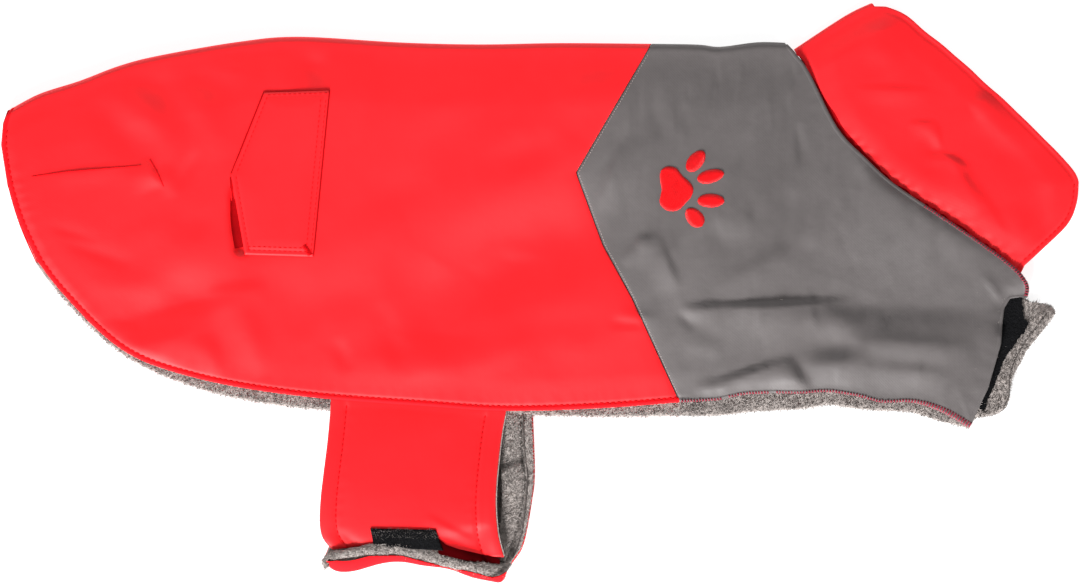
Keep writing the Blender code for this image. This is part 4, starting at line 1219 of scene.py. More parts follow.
strap_tape = cloth("strap_tape_hooks", *STRAP_TAPE_GRID, strap_tape_place, (0.0, TAPE * 0.95))

# %% Painted shadow of the lip on the near strap's turn
SHADE_UPPER = Line(pixels((436, 535), (447, 544), (459, 548), (478, 552.5), (500, 558)))
SHADE_LOWER = Line(pixels((439, 553), (447, 555), (459, 558), (478, 561), (500, 563)))
SHADE_GRID = (60, 8)


def shade_place(column, row, depth):
    u, v = column / SHADE_GRID[0], (row / SHADE_GRID[1])[:, None]
    at = SHADE_UPPER.at(u) * (1 - v) + SHADE_LOWER.at(u) * v
    return np.column_stack([at, on_strap(at) + 0.3 - depth]), at


# A dark strip just over the strap, where the lip's shadow falls: painted shadow, not a turn of cloth.
painted_shadow_strip = cloth("strap_turn_painted_shadow", *SHADE_GRID, shade_place, (0.0, 0.4))

# %% Tape on the far chest flap
# The tape's outer line runs on past the tape's real end, up under the near flap's curled corner: its black there is
# painted shade in that hollow.
CHEST_TAPE_OUTER = [(244.6, -1.6), (245.0, -12.5), (247.0, -17.3), (236.5, -32.3), (229.4, -48.5), (225.0, -60.5)]
CHEST_TAPE_INNER = [(226.0, 0.0), (224.0, -20.0), (218.0, -38.0), (212.0, -52.0)]
CHEST_TAPE_GRID = (24, 60)
tape_outer = Line(Line(smooth(CHEST_TAPE_OUTER)).at(np.linspace(0, 1, CHEST_TAPE_GRID[1] + 1)))
tape_inner = Line(smooth(CHEST_TAPE_INNER))
tape_outer = tape_outer.shifted(0.5 * random.uniform(-1, 1, CHEST_TAPE_GRID[1] + 1))  # cut a little unevenly


def on_lining(at):
    """Height of the far half's fleece."""
    return LINING_DEPTHS[1] + far_lift(at)


def chest_tape_place(column, row, depth):
    u, v = (column / CHEST_TAPE_GRID[0])[:, None], row / CHEST_TAPE_GRID[1]
    at = tape_inner.at(v) * (1 - u) + tape_outer.at(v) * u
    return np.column_stack([at, on_lining(at) + 0.1 + TAPE - depth]), at


chest_tape = cloth("chest_tape_loops_and_painted_shade", *CHEST_TAPE_GRID, chest_tape_place, (0.0, TAPE))

# %% [markdown]
# ## Threads
#
# Every stitch, satin thread and overlock loop is a short tube along a few points. Thousands of them are
# joined into one mesh from arrays, which is quick and keeps each kind of thread one piece.

# One by one, with an object each, they would take minutes and clutter the scene.

# %% Threads


def tubes(name, paths, radius, sides=6, blunt=0.55):
    """One mesh of tubes along paths, an array (count, points, 3) in mm. Their ends narrow to blunt."""
    count, steps, _ = paths.shape
    along = np.gradient(paths, axis=1)
    along /= np.linalg.norm(along, axis=2, keepdims=True) + 1e-9
    side = np.cross(along, (0.0, 0.0, 1.0))
    side /= np.linalg.norm(side, axis=2, keepdims=True) + 1e-9
    over = np.cross(side, along)
    taper = np.ones(steps)
    taper[[0, -1]] = blunt
    turn = np.arange(sides) * 2 * math.pi / sides
    ring = np.cos(turn)[:, None] * side[:, :, None] + np.sin(turn)[:, None] * over[:, :, None]
    width = np.broadcast_to(np.reshape(radius, (-1, 1, 1, 1)), (count, 1, 1, 1)) * taper[:, None, None]
    points = paths[:, :, None] + ring * width
    first = (np.arange(count) * steps * sides)[:, None, None]
    k, s = np.arange(steps - 1)[:, None] * sides, np.arange(sides)
    quads = np.stack([k + s, k + (s + 1) % sides, k + sides + (s + 1) % sides, k + sides + s], -1)
    faces = (first[..., None] + quads).reshape(-1, 4).tolist()
    caps = first[:, 0] + np.arange(sides)
    faces += caps[:, ::-1].tolist() + (caps + (steps - 1) * sides).tolist()
    mesh = bpy.data.meshes.new(name)
    mesh.from_pydata(points.reshape(-1, 3).tolist(), [], faces)
    cut = np.stack([np.repeat(np.arange(count * steps) * 0.4, sides), np.tile(turn, count * steps)], -1)
    return finish_mesh(mesh, points.reshape(-1, 3), cut)


# %% [markdown]
# ## Topstitching
#
# Red thread holds the hem down, the pocket flap on and the collar's front shut. On real cloth each stitch
# is a short bulge whose ends sink in, so each one is a tube of five points along a line beside the edge.
# A texture of stitches would be flat and would slide off the edge's curves.

# %% Rows of stitches


def stitch_paths(line, top, length, pitch, radius, dip=0.35, first=0.0, last=1.0, wander=0.0):
    """Stitches in a row along a flat line: each one bulges, and its ends sink into the cloth."""
    starts = np.arange(first * line.length, last * line.length - length, pitch)
    steps = np.linspace(0, 1, 5)
    share = (starts[:, None] + steps * length) / line.length
    at = line.at(share)
    turned = line.right(share[:, 2]) * random.normal(0, 1, (len(starts), 1)) * wander
    at = at + turned[:, None] * (steps[:, None] - 0.5) * 2
    z = top(at.reshape(-1, 2)).reshape(at.shape[:2])
    bulge = radius * 0.8 - dip * np.abs(2 * steps - 1) ** 3
    return np.concatenate([at, (z + bulge)[..., None]], -1)


def inset_row(points, inset):
    """A row beside an edge, read by its own length."""
    return Line(Line(points).shifted(inset).points)


# %% Hem, flap and collar stitches
STITCH = dict(length=2.2, pitch=2.9, radius=0.21)
FLAP_STITCH = dict(length=1.9, pitch=2.6, radius=0.17, first=0.03, last=0.97, wander=0.05)
HEM_ENDS = (-268.0, 82.0), (70.4, -54.0)  # the hem is sewn from the tail's fold to the pointed seam
FLAP_SEWS = [  # side of the flap, distance from it
    (0, SEW_LINE), (1, SEW_LINE), (2, SEW_LINE), (2, 4.2), (3, 1.3), (3, 3.8), (4, 1.5),
]
hem_row = inset_row(resampled(near_outline.points, 1.5), -SEW_LINE)
hem_start, hem_end = hem_row.nearest(np.array(HEM_ENDS))[1]
hem_stitches = stitch_paths(hem_row, near_top, **STITCH, first=hem_start, last=hem_end, wander=0.06)
flap_rows = [inset_row(resampled(FLAP_CORNERS[side : side + 2], 2.0), -inset) for side, inset in FLAP_SEWS]
flap_stitches = np.concatenate([stitch_paths(row, on_flap, **FLAP_STITCH) for row in flap_rows])
collar_row = inset_row(smooth(COLLAR_FRONT_END), -SEW_LINE)

# %% Bar tack in the flap's corner
TACK_START, TACK_END, TACK_SIDE = (-119.6, 23.6), (-116.4, 19.0), (1.1, 0.75)
TACK_THREADS = 12
tack_share = np.linspace(0, 1, TACK_THREADS)[:, None]
tack = np.array(TACK_START) * (1 - tack_share) + np.array(TACK_END) * tack_share
tack_side = np.array(TACK_SIDE) * np.where(np.arange(TACK_THREADS) % 2, 1, -1)[:, None]
bar_tack = np.stack([tack + tack_side * reach for reach in (-1, -0.3, 0.3, 1, 1.05)], 1)
tack_height = on_flap(bar_tack.reshape(-1, 2)).reshape(TACK_THREADS, 5) + (-0.1, 0.25, 0.25, 0.1, -0.1)
bar_tack = np.dstack([bar_tack, tack_height])

# %% Red topstitches
collar_stitches = stitch_paths(collar_row, on_collar, **STITCH, first=0.06, last=0.99)
stitch_sets = [(hem_stitches, 0.3), (flap_stitches, 0.17), (bar_tack, 0.16), (collar_stitches, 0.2)]
stitch_radii = np.concatenate([np.full(len(paths), radius) for paths, radius in stitch_sets])
red_stitches = tubes("red_topstitches", np.concatenate([paths for paths, _ in stitch_sets]), stitch_radii)

# %% Stitches down the near strap


def strap_row(sew, right, length=2.0, pitch=2.6):
    """Stitches down the near strap, in its own (u, v), at a distance from its left or right side."""
    starts = np.arange(2.0, 68.0, pitch)
    steps = np.linspace(0, 1, 5)
    v = (starts[:, None] + steps * length) / STRAP_LENGTH
    u = np.full(v.shape, 1 - sew / STRAP_WIDTH if right else sew / STRAP_WIDTH)
    flat = near_strap_at(u.ravel(), v.ravel())
    top = near_strap_top(u.ravel(), v.ravel()).reshape(v.shape)
    return np.dstack([flat.reshape(*v.shape, 2), top + 0.15 - 0.35 * np.abs(2 * steps - 1) ** 3])


strap_rows = np.concatenate([strap_row(sew, right) for sew, right in zip(STRAP_SEWS, (False, True))])
strap_stitches = tubes("red_strap_stitches", strap_rows, 0.3)

# %% [markdown]
# The pointed seam is sewn down on the grey side with tiny pale stitches, and the hem and neck edge of
# the yoke are bound with a rose zigzag, which keeps the thin cloth from fraying.

# %% Seam stitches and overlock
seam_row = inset_row(resampled(YOKE_SEAM), -1.0)
SEAM_STITCH = dict(length=0.8, pitch=1.5, radius=0.13, dip=0.15, first=0.03, last=0.98, wander=0.03)
seam_stitches = tubes("pale_seam_stitches", stitch_paths(seam_row, near_top, **SEAM_STITCH), SEAM_STITCH["radius"])
OVERLOCK_WIDTHS = (1.2, 3.2)  # narrow along the edges, wide at the chest corner
OVERLOCK_PITCH, OVERLOCK_LEAN = 1.5, 0.9


def overlock(line, top, first, last, side, widths=OVERLOCK_WIDTHS):
    """Zigzag threads over an edge, from inside the cloth to its rim and back."""
    distances = np.arange(first * line.length, last * line.length, OVERLOCK_PITCH)
    steps = np.linspace(0, 1, 6)
    paths = []
    for way in (1, -1):
        share = np.clip((distances[:, None] + way * OVERLOCK_LEAN * (steps - 0.5)) / line.length, 0, 1)
        width = widths[0] + (widths[1] - widths[0]) * smoothstep((share - 0.72) / 0.22)
        reach = width * (1 - steps) - 0.15 + random.normal(0, 0.1, (len(distances), 1))
        at = line.at(share) + line.right(share) * (side * reach)[..., None]
        z = top(at.reshape(-1, 2)).reshape(share.shape)
        z = z + 0.5 - 1.3 * steps**4 - 0.5 * (1 - steps) ** 4 + 0.1 * (way > 0)
        paths.append(np.dstack([at, z]))
    return np.concatenate(paths)


# %% [markdown]
# ## Seams that read as a dark line
#
# Where one ply is turned against another, the gap between them lies in dark, soft shade. A deep groove in the
# panel would need very close rows, so that shade is painted: each such seam is a long thin tube of dark colour,
# sunk in place: round the flap, along the tail, down the fleece's creases. The dart's two strokes are red.

# %% Seam threads and painted shade lines
SEAM_STEPS_ALONG = 90
TAIL_HEIGHT, STRAP_FLEECE_HEIGHT, LIP_END_HEIGHT = 3.3, 3.1, 11.6
FLEECE_SEAM = pixels((1046, 313), (1036, 326), (1024, 343), (1014, 361), (1009, 378), (1008, 396), (1002, 408))
STRAP_SEAM = pixels((523, 412), (524, 440), (526, 462), (527.5, 478), (525.5, 505), (521.5, 534), (513, 558))
LIP_END = pixels((340, 551.5), (332, 554), (327, 558), (325.6, 562), (328, 567))


def flat_height(z):
    return lambda at: np.full(len(at), z)


def seam_threads(name, rows, blunt=0.3, sides=8):
    """Tubes along flat lines. A row holds the line's points, its surface, its height over it and its radius."""
    paths = []
    for points, top, height, _ in rows:
        at = Line(resampled(points)).at(np.linspace(0, 1, SEAM_STEPS_ALONG))
        paths.append(np.column_stack([at, top(at) + height]))
    return tubes(name, np.stack(paths), [row[-1] for row in rows], sides, blunt)


# Dark red tubes round the flap and along the tail: painted shade of the gaps and shadows at those edges.
painted_shade_seams = seam_threads("dark_red_painted_shade_lines", [
    (FLAP_CORNERS[0:2], near_top, 0.35, 0.45), (FLAP_CORNERS[2:4], near_top, 0.2, 0.2),
    (FLAP_CORNERS[3:5], near_top, 0.3, 0.4), (FLAP_CORNERS[4:6], near_top, 0.25, 0.3),
    ([BACK_FOLD[0], *TAIL_EDGE], flat_height(TAIL_HEIGHT), 0.0, 0.75),
])
soft_seams = seam_threads("red_dart_seams", [
    (pixels((33, 177), (70, 172), (143, 166)), near_top, 0.05, 0.24),
    (pixels((151, 160), (157, 170), (165, 187)), near_top, 0.0, 0.3),
], 0.2)
# Dark grey tubes down the fleece's grooves and creases: painted shade in them.
fleece_painted_shade_seams = seam_threads("fleece_painted_shade_lines", [
    (smooth(FLEECE_SEAM), on_lining, 0.1, 0.32), (smooth(STRAP_SEAM), flat_height(STRAP_FLEECE_HEIGHT), 0.0, 0.32),
])
lip_end = seam_threads("strap_lip_end", [(smooth(LIP_END), flat_height(LIP_END_HEIGHT), 0.0, 1.4)], 0.5, 12)

# %% [markdown]
# ## Painted shade at the collar's base
#
# The collar's base lies in a narrow dark shade under the near neck edge, which comes and goes as the
# gathers roll over it. The shade is painted: a strip of dark cloth along the neck line, with a width that
# wavers, gives that better than a thread would.

# %% Painted shade along the collar's base
NECK_SHADE_COLUMNS, NECK_SHADE_ROWS = 6, 320
NECK_SHADE_START, NECK_SHADE_LENGTH = 0.09, 0.76  # shares of the neck line
neck_line = Line(resampled(smooth(NECK_EDGE)))


def neck_shade_place(column, row, depth):
    share = NECK_SHADE_START + NECK_SHADE_LENGTH * row / NECK_SHADE_ROWS
    width = 0.5 + 2.0 * bell(share - 0.3, 0.11) + 0.4 * np.sin(share * 47) * np.sin(share * 19)
    width += 0.45 * np.sin(share * 160 + 3 * np.sin(share * 31)) * smoothstep((share - 0.4) / 0.1)
    width *= 0.55 + 0.45 * smoothstep((share - NECK_SHADE_START) / 0.05)
    inward = 1.5 - (1.5 + width) * column / NECK_SHADE_COLUMNS
    at = neck_line.at(share) + neck_line.right(share) * inward[:, None]
    return np.column_stack([at, on_collar(at) + 0.12 - depth]), at


# A strip of dark cloth: painted shade where the yoke's neck edge shades the collar.
neck_painted_shade = cloth("neck_painted_shade", NECK_SHADE_COLUMNS, NECK_SHADE_ROWS, neck_shade_place, (0.0, 0.2))

# %% Overlock on the yoke's edges
HEM_PARTS = (0.01, 0.14), (0.17, 0.3), (0.33, 1.0)  # shares of the hem between which it shows
yoke_hem_line = Line(resampled(smooth(YOKE_HEM)))
overlock_paths = [overlock(yoke_hem_line, near_top, *part, -1) for part in HEM_PARTS]
overlock_paths.append(overlock(neck_line, near_top, 0.6, 0.995, 1, (1.6, 2.2)))
yoke_overlock = tubes("rose_overlock", np.concatenate(overlock_paths), 0.2)

# %% [markdown]
# ## Paw
#
# A paw of red satin stitch stands a little proud of the yoke. Each part is an outline; its padding is a
# low dome, and the threads run across it side by side. Real threads give the play of light that a
# striped bump would only hint at, and there is room for them, as the paw is small.

# %% Paw outlines
PAW_PAD = [
    (659.5, 176), (662, 169.5), (668, 167), (676, 169), (682.5, 177), (689.5, 183), (692.8, 190), (690, 197.8),
    (683.5, 205), (678.5, 209.8), (671, 211.5), (663.5, 209), (659.2, 202), (661.3, 190), (660, 183),
]
PawToe = namedtuple("PawToe", "px py length width angle point")
PAW_TOES = [  # angles in degrees, anticlockwise from the coat's length; point: how sharp the outer end is
    PawToe(695.2, 161.6, 24.6, 15.0, 50, 0.05), PawToe(710.0, 176.7, 27.0, 13.4, 14, 0.07),
    PawToe(710.2, 201.0, 26.6, 13.6, 0, 0.02), PawToe(694.0, 217.8, 22.0, 16.0, -46, -0.1),
]
CURVE_STEPS, CURVE_OVERLAP = 5, 3  # steps between points; points repeated, so that the curve closes softly


def closed_curve(points):
    line = smooth(points[-CURVE_OVERLAP:] + points + points[:CURVE_OVERLAP], CURVE_STEPS)
    return line[CURVE_OVERLAP * CURVE_STEPS : (CURVE_OVERLAP + len(points)) * CURVE_STEPS]


def toe_outline(toe):
    """An oval that is narrower or wider at its outer end."""
    t = np.linspace(0, 2 * math.pi, 48, endpoint=False)
    along = np.cos(t) * toe.length / 2
    across = np.sin(t) * toe.width / 2 * (1 - toe.point * np.cos(t))
    turn = math.radians(toe.angle)
    x = along * math.cos(turn) - across * math.sin(turn)
    y = along * math.sin(turn) + across * math.cos(turn)
    return at_pixel(toe.px, toe.py) + np.stack([x, y], -1) * PIXEL


# %% Satin stitch
SATIN_STEP, SATIN_RADIUS = 0.3, 0.19  # from thread to thread, and half a thread's thickness
PAW_HEIGHT, PAW_SLOPE = 0.75, 1.6  # the padding's height, and how far from the edge it is reached


def chords(outline, angle, step):
    """Parallel lines across a closed outline: each one's start and end on it."""
    way = np.array((math.cos(angle), math.sin(angle)))
    across = np.array((-way[1], way[0]))
    level, place = outline @ across, outline @ way
    after_level, after_place = np.roll(level, -1), np.roll(place, -1)
    found = []
    for height in np.arange(level.min() + step / 2, level.max(), step):
        crossed = (level - height) * (after_level - height) < 0
        share = (height - level[crossed]) / (after_level[crossed] - level[crossed])
        cuts = np.sort(place[crossed] + share * (after_place[crossed] - place[crossed]))
        found += [(way * a + across * height, way * b + across * height) for a, b in zip(cuts[::2], cuts[1::2])]
    return found


def satin(outline, angle, longest):
    """Satin threads over a domed outline, split where they would be longer than the given length."""
    edge = Line(np.vstack([outline, outline[:1]]))
    ends = []
    for number, (a, b) in enumerate(chords(outline, angle, SATIN_STEP)):
        parts = max(1, round(np.linalg.norm(b - a) / longest))
        shift = 0.35 * (number % 3 - 1) / parts if parts > 1 else 0.0
        splits = np.r_[0.0, np.arange(1, parts) / parts + shift, 1.0]
        ends += [(a + (b - a) * s, a + (b - a) * e) for s, e in zip(splits[:-1], splits[1:])]
    ends = np.array(ends) + random.normal(0, 0.05, (len(ends), 2, 2))
    steps = np.linspace(0, 1, 7)[:, None]
    at = ends[:, None, 0] * (1 - steps) + ends[:, None, 1] * steps
    flat = at.reshape(-1, 2)
    dome = PAW_HEIGHT * np.sqrt(1 - np.clip(1 - edge.nearest(flat)[0] / PAW_SLOPE, 0, 1) ** 2)
    z = (near_top(flat) + dome - 0.1).reshape(at.shape[:2])
    return np.dstack([at, z - 0.12 * np.abs(2 * steps[:, 0] - 1) ** 6])  # a thread's ends dip


paw_parts = [(closed_curve(pixels(*PAW_PAD)), math.radians(62), 5.0)]  # outline, way of the threads, longest
paw_parts += [(toe_outline(toe), math.radians(toe.angle + 78), 12.0) for toe in PAW_TOES]
paw = tubes("paw_satin", np.concatenate([satin(*part) for part in paw_parts]), SATIN_RADIUS, blunt=0.7)

# %% [markdown]
# Below the threads lies padding, so that no grey shows between them. It starts as a face in the shape of
# the outline, which is extruded and drawn in ring by ring. Each ring takes its height from the yoke.

# %% Paw padding
PADDING_RINGS = [(0.97, -0.3), (0.85, 0.45), (0.5, 0.6), (0.1, 0.62)]  # scale of the outline, height

bm = bmesh.new()
for outline, _, _ in paw_parts:
    middle = outline.mean(0)
    face, size = bm.faces.new([bm.verts.new((*p, 0)) for p in outline]), 1.0
    at_middle = Matrix.Translation((-middle[0], -middle[1], 0))
    for ring, (scale, height) in enumerate(PADDING_RINGS):
        if ring:
            made = bmesh.ops.extrude_face_region(bm, geom=[face, *face.edges], use_keep_orig=ring == 1)["geom"]
            face = next(f for f in made if isinstance(f, bmesh.types.BMFace))
        bmesh.ops.scale(bm, vec=(scale / size, scale / size, 1), space=at_middle, verts=face.verts)
        for v, z in zip(face.verts, near_top(np.array([v.co[:2] for v in face.verts])) + height):
            v.co.z = z
        size = scale
bmesh.ops.recalc_face_normals(bm, faces=bm.faces)
bmesh.ops.translate(bm, vec=(-CENTRE[0], -CENTRE[1], 0), verts=bm.verts)
bmesh.ops.scale(bm, vec=(MM, MM, MM), verts=bm.verts)
paw_padding = new_object("paw_padding", new_mesh("paw_padding", bm))
paw_padding.data.shade_smooth()
print("paw_padding:", len(paw_padding.data.polygons), "faces")

# %% [markdown]
# ## Fleece nap
#
# Where the fleece shows, short curled locks of pile stand out of it, most of all along its edges. They
# are scattered over the triangles of the lining that point the right way. Blender's hair would need a
# render of its own and leaves no mesh, so each lock is a thin three-sided tube of three points.

# %% Nap helper
NAP_SPREAD = 0.8  # how far the locks lean and curl
NAP_GROUND = 0.08  # no lock reaches through the ground


def nap(name, source, wanted, per_mm2, length, radius):
    """Curled locks on the parts of a piece where wanted(points in mm, normals) is true."""
    mesh = source.data
    mesh.calc_loop_triangles()
    vertices = vertex_places(mesh) / MM
    vertices[:, :2] += CENTRE
    corners = np.empty(len(mesh.loop_triangles) * 3, int)
    mesh.loop_triangles.foreach_get("vertices", corners)
    a, b, c = vertices[corners.reshape(-1, 3)].transpose(1, 0, 2)
    normal = np.cross(b - a, c - a)
    area = np.linalg.norm(normal, axis=1) / 2
    normal /= 2 * area[:, None] + 1e-12
    area = np.where(wanted((a + b + c) / 3, normal), area, 0.0)
    count = int(area.sum() * per_mm2)
    pick = random.choice(len(area), count, p=area / area.sum())
    u, v = random.uniform(0, 1, (2, count, 1))
    flip = u + v > 1
    u, v = np.where(flip, 1 - u, u), np.where(flip, 1 - v, v)
    root = a[pick] + (b - a)[pick] * u + (c - a)[pick] * v
    way = normal[pick] + random.normal(0, NAP_SPREAD, (count, 3)) * 0.5
    way /= np.linalg.norm(way, axis=1, keepdims=True)
    sway = random.normal(0, NAP_SPREAD, (count, 3)) * (1, 1, 0.3)
    steps = np.linspace(0, 1, 3)[:, None]
    reach = length * random.uniform(0.5, 1.1, (count, 1, 1))
    paths = root[:, None] + (way[:, None] * (steps - 0.12) + sway[:, None] * steps**2 * 0.7) * reach
    paths[..., 2] = np.maximum(paths[..., 2], NAP_GROUND)
    return tubes(name, paths, radius * random.uniform(0.7, 1.3, count), sides=3, blunt=0.4)


# %% Where the fleece shows
near_yoke_line = smooth(YOKE_HEM)
SEAM_FOOT = YOKE_SEAM[-1][0]  # where the pointed seam meets the hem
STRAP_SHOWS = [60, 75, 102, 121, 134], [-21, -24, -27, -26, -40]  # how far down, and the near strap's edge there


def shows_on_lining(at, normal):
    """The far half's upper face near its edge, outside the near half."""
    x, y, z = at.T
    below_hem = y < np.interp(x, near_hem_line[:, 0], near_hem_line[:, 1]) + 0.6
    below_yoke = y < np.interp(x, near_yoke_line[:, 0], near_yoke_line[:, 1]) + 0.6
    past_chest = (x > 217) & (near_outline.nearest(at[:, :2])[0] < 40)
    outside = np.where(x < SEAM_FOOT, below_hem, below_yoke) | past_chest
    return outside & (z < 9.5) & (z > 0.9) & (normal[:, 2] > -0.5) & (y < 2)


def shows_in_strap(at, normal):
    x, y, z = at.T
    return (x > np.interp(-y, *STRAP_SHOWS)) & (normal[:, 2] > -0.3) & (z > 1.2)


def shows_on_tape(at, normal):
    return (normal[:, 2] > 0.5) & (at[:, 1] > -124.5)


def faces_up(least):
    return lambda at, normal: normal[:, 2] > least


# %% Nap of lining, straps and tape
lining_nap = nap("nap_lining_fleece", lining, shows_on_lining, 2.0, 1.05, 0.165)
strap_nap = nap("nap_strap_fleece", far_strap_lining, shows_in_strap, 2.6, 1.05, 0.15)
lip_nap = nap("nap_lip_fleece", strap_lip, faces_up(0.35), 3.0, 0.8, 0.16)
tongue_nap = nap("nap_strap_tongue", strap_tongue, faces_up(0.3), 2.6, 1.05, 0.15)
end_nap = nap("nap_lip_end", lip_end, faces_up(0.0), 4.0, 0.9, 0.14)
tape_nap = nap("nap_strap_tape", strap_tape, shows_on_tape, 1.6, 0.8, 0.07)

# %% [markdown]
# ## Node groups that the finishes share
#
# Every finish is procedural, because a picture of cloth would tile and blur close up. Two node groups
# hold what the cloths share: `weave` gives the threads over and under each other with a few thick ones,
# `mottling` gives slow, uneven changes of shade. The weave reads the flat cut in the UV map, in metres,
# so the threads follow the pattern pieces. The mottling reads the place on the piece.

# %% Node helpers


def set_inputs(tree, made, inputs):
    """Inputs are numbers, or sockets to link from."""
    for key, value in inputs.items():
        if isinstance(value, bpy.types.NodeSocket):
            tree.links.new(value, made.inputs[key])
        else:
            made.inputs[key].default_value = value


def add_node(tree, kind, inputs=None, **settings):
    """A shader node, named without the ShaderNode that all their names begin with."""
    made = tree.nodes.new("ShaderNode" + kind)
    for key, value in settings.items():
        setattr(made, key, value)
    set_inputs(tree, made, inputs or {})
    return made


def math_node(tree, operation, a, b=0.0):
    return add_node(tree, "Math", {0: a, 1: b}, operation=operation).outputs[0]


def noise(tree, vector, per_metre, detail=2.0):
    return add_node(tree, "TexNoise", {"Vector": vector, "Scale": per_metre, "Detail": detail}).outputs["Fac"]


def new_group(name, inputs, outputs):
    group = bpy.data.node_groups.new(name, "ShaderNodeTree")
    for socket, kind, value in inputs:
        made = group.interface.new_socket(socket, in_out="INPUT", socket_type=kind)
        if value is not None:
            made.default_value = value
    for socket in outputs:
        group.interface.new_socket(socket, in_out="OUTPUT", socket_type="NodeSocketFloat")
    start, end = group.nodes.new("NodeGroupInput"), group.nodes.new("NodeGroupOutput")
    return group, start, end


def use_group(tree, group, inputs):
    return add_node(tree, "Group", inputs, node_tree=group).outputs[0]


# %% Weave group
CUT, THREAD = ("Cut", "NodeSocketVector", None), ("Thread", "NodeSocketFloat", 0.0006)
weave, start, end = new_group("weave", [CUT, THREAD], ["Height"])
axes = add_node(weave, "SeparateXYZ", {0: start.outputs["Cut"]})
waves = []
for axis in ("X", "Y"):
    turns = math_node(weave, "DIVIDE", axes.outputs[axis], start.outputs["Thread"])
    waves.append(math_node(weave, "SINE", math_node(weave, "MULTIPLY", turns, math.pi)))
plain = math_node(weave, "MULTIPLY", *waves)
along_warp = {0: start.outputs["Cut"], 1: (1.0, 0.03, 1.0)}
stretched = add_node(weave, "VectorMath", along_warp, operation="MULTIPLY")
thick = noise(weave, stretched.outputs[0], 900.0, 1.0)
plain, thick = math_node(weave, "MULTIPLY", plain, 0.5), math_node(weave, "MULTIPLY", thick, 0.9)
weave.links.new(math_node(weave, "ADD", plain, thick), end.inputs["Height"])
print("group:", weave.name, len(weave.nodes), "nodes")

# %% Mottling group
AT, SIZE = ("At", "NodeSocketVector", None), ("Size", "NodeSocketFloat", 0.02)
mottling, start, end = new_group("mottling", [AT, SIZE], ["Shade"])
per_metre = math_node(mottling, "DIVIDE", 1.0, start.outputs["Size"])
slow = math_node(mottling, "MULTIPLY", noise(mottling, start.outputs["At"], per_metre, 3.0), 0.65)
faster = math_node(mottling, "MULTIPLY", per_metre, 7.0)
fast = math_node(mottling, "MULTIPLY", noise(mottling, start.outputs["At"], faster, 2.0), 0.35)
mottling.links.new(math_node(mottling, "ADD", slow, fast), end.inputs["Shade"])
print("group:", mottling.name, len(mottling.nodes), "nodes")

# %% [markdown]
# ## Cloth finishes
#
# The red shell is coated, tightly woven cloth with a soft shine, the yoke a thin stretch cloth, the
# lining knitted fleece. Woven cloth needs its threads as bump and a slow change of shade; fleece has no
# threads to see, only lumps of pile with hairs between them, which warped cells and noise give.

# %% Materials


def new_material(name, roughness, specular, sheen=0.0, sheen_roughness=0.5):
    made = bpy.data.materials.new(name)
    made.use_nodes = True
    shader = made.node_tree.nodes["Principled BSDF"]
    shader.inputs["Roughness"].default_value = roughness
    shader.inputs["Specular IOR Level"].default_value = specular
    shader.inputs["Sheen Weight"].default_value = sheen
    shader.inputs["Sheen Roughness"].default_value = sheen_roughness
    return made, made.node_tree, shader


def shaded(tree, shade, dark, light, low=0.3, high=0.7):
    """A colour between dark and light, by a shade value."""
    share = add_node(tree, "MapRange", {"Value": shade, "From Min": low, "From Max": high}).outputs[0]
    mixed = add_node(tree, "Mix", {"Factor": share, "A": (*dark, 1), "B": (*light, 1)}, data_type="RGBA")
    return mixed.outputs["Result"]


def on_piece(tree):
    return add_node(tree, "TexCoord").outputs["Object"]


# %% Coated cloth


def coated_cloth(name, dark, light, roughness, specular, thread, weave_bump, crumple_bump, sheen=0.0):
    """Tightly woven rainproof cloth."""
    made, tree, shader = new_material(name, roughness, specular, sheen)
    cut = add_node(tree, "UVMap", uv_map="cut").outputs[0]
    place = on_piece(tree)
    threads = use_group(tree, weave, {"Cut": cut, "Thread": thread})
    slow = use_group(tree, mottling, {"At": place, "Size": 0.045})
    crumple = noise(tree, place, 260.0, 3.0)
    soft = add_node(tree, "Bump", {"Height": crumple, "Strength": crumple_bump, "Distance": 0.0012})
    fine = add_node(tree, "Bump", {
        "Height": threads, "Strength": weave_bump, "Distance": 0.00012, "Normal": soft.outputs[0]})
    uneven = add_node(tree, "MapRange", {
        "Value": slow, "To Min": roughness - 0.06, "To Max": roughness + 0.06})
    set_inputs(tree, shader, {
        "Base Color": shaded(tree, slow, dark, light), "Normal": fine.outputs[0], "Roughness": uneven.outputs[0]})
    return made


# %% Fleece and tape


def pile(name, dark, light, lump, bump, sheen=0.3):
    """Soft knitted fleece: lumps of pile with fine hairs between them."""
    made, tree, shader = new_material(name, 0.95, 0.1, sheen, 0.6)
    place = on_piece(tree)
    warp = add_node(tree, "TexNoise", {"Vector": place, "Scale": 420.0, "Detail": 1.0}).outputs["Color"]
    pull = {0: warp, 1: (0.0022, 0.0022, 0.0022), 2: place}
    pulled = add_node(tree, "VectorMath", pull, operation="MULTIPLY_ADD").outputs[0]
    cells = add_node(tree, "TexVoronoi", {"Vector": pulled, "Scale": 1 / lump, "Randomness": 1.0})
    hairs = math_node(tree, "MULTIPLY", noise(tree, pulled, 5 / lump, 3.0), 0.9)
    raised = math_node(tree, "SUBTRACT", hairs, math_node(tree, "MULTIPLY", cells.outputs["Distance"], 0.7))
    slow = use_group(tree, mottling, {"At": place, "Size": 0.012})
    # The colour is darker where the pile is low between its lumps: painted shade in those hollows, mixed with a slow
    # random change of tone.
    shade = math_node(tree, "ADD", math_node(tree, "MULTIPLY", raised, 0.8), math_node(tree, "MULTIPLY", slow, 0.8))
    soft = add_node(tree, "Bump", {"Height": raised, "Strength": bump, "Distance": 0.0006})
    set_inputs(tree, shader, {
        "Base Color": shaded(tree, shade, dark, light, 0.15, 0.72), "Normal": soft.outputs[0]})
    return made


# %% Thread


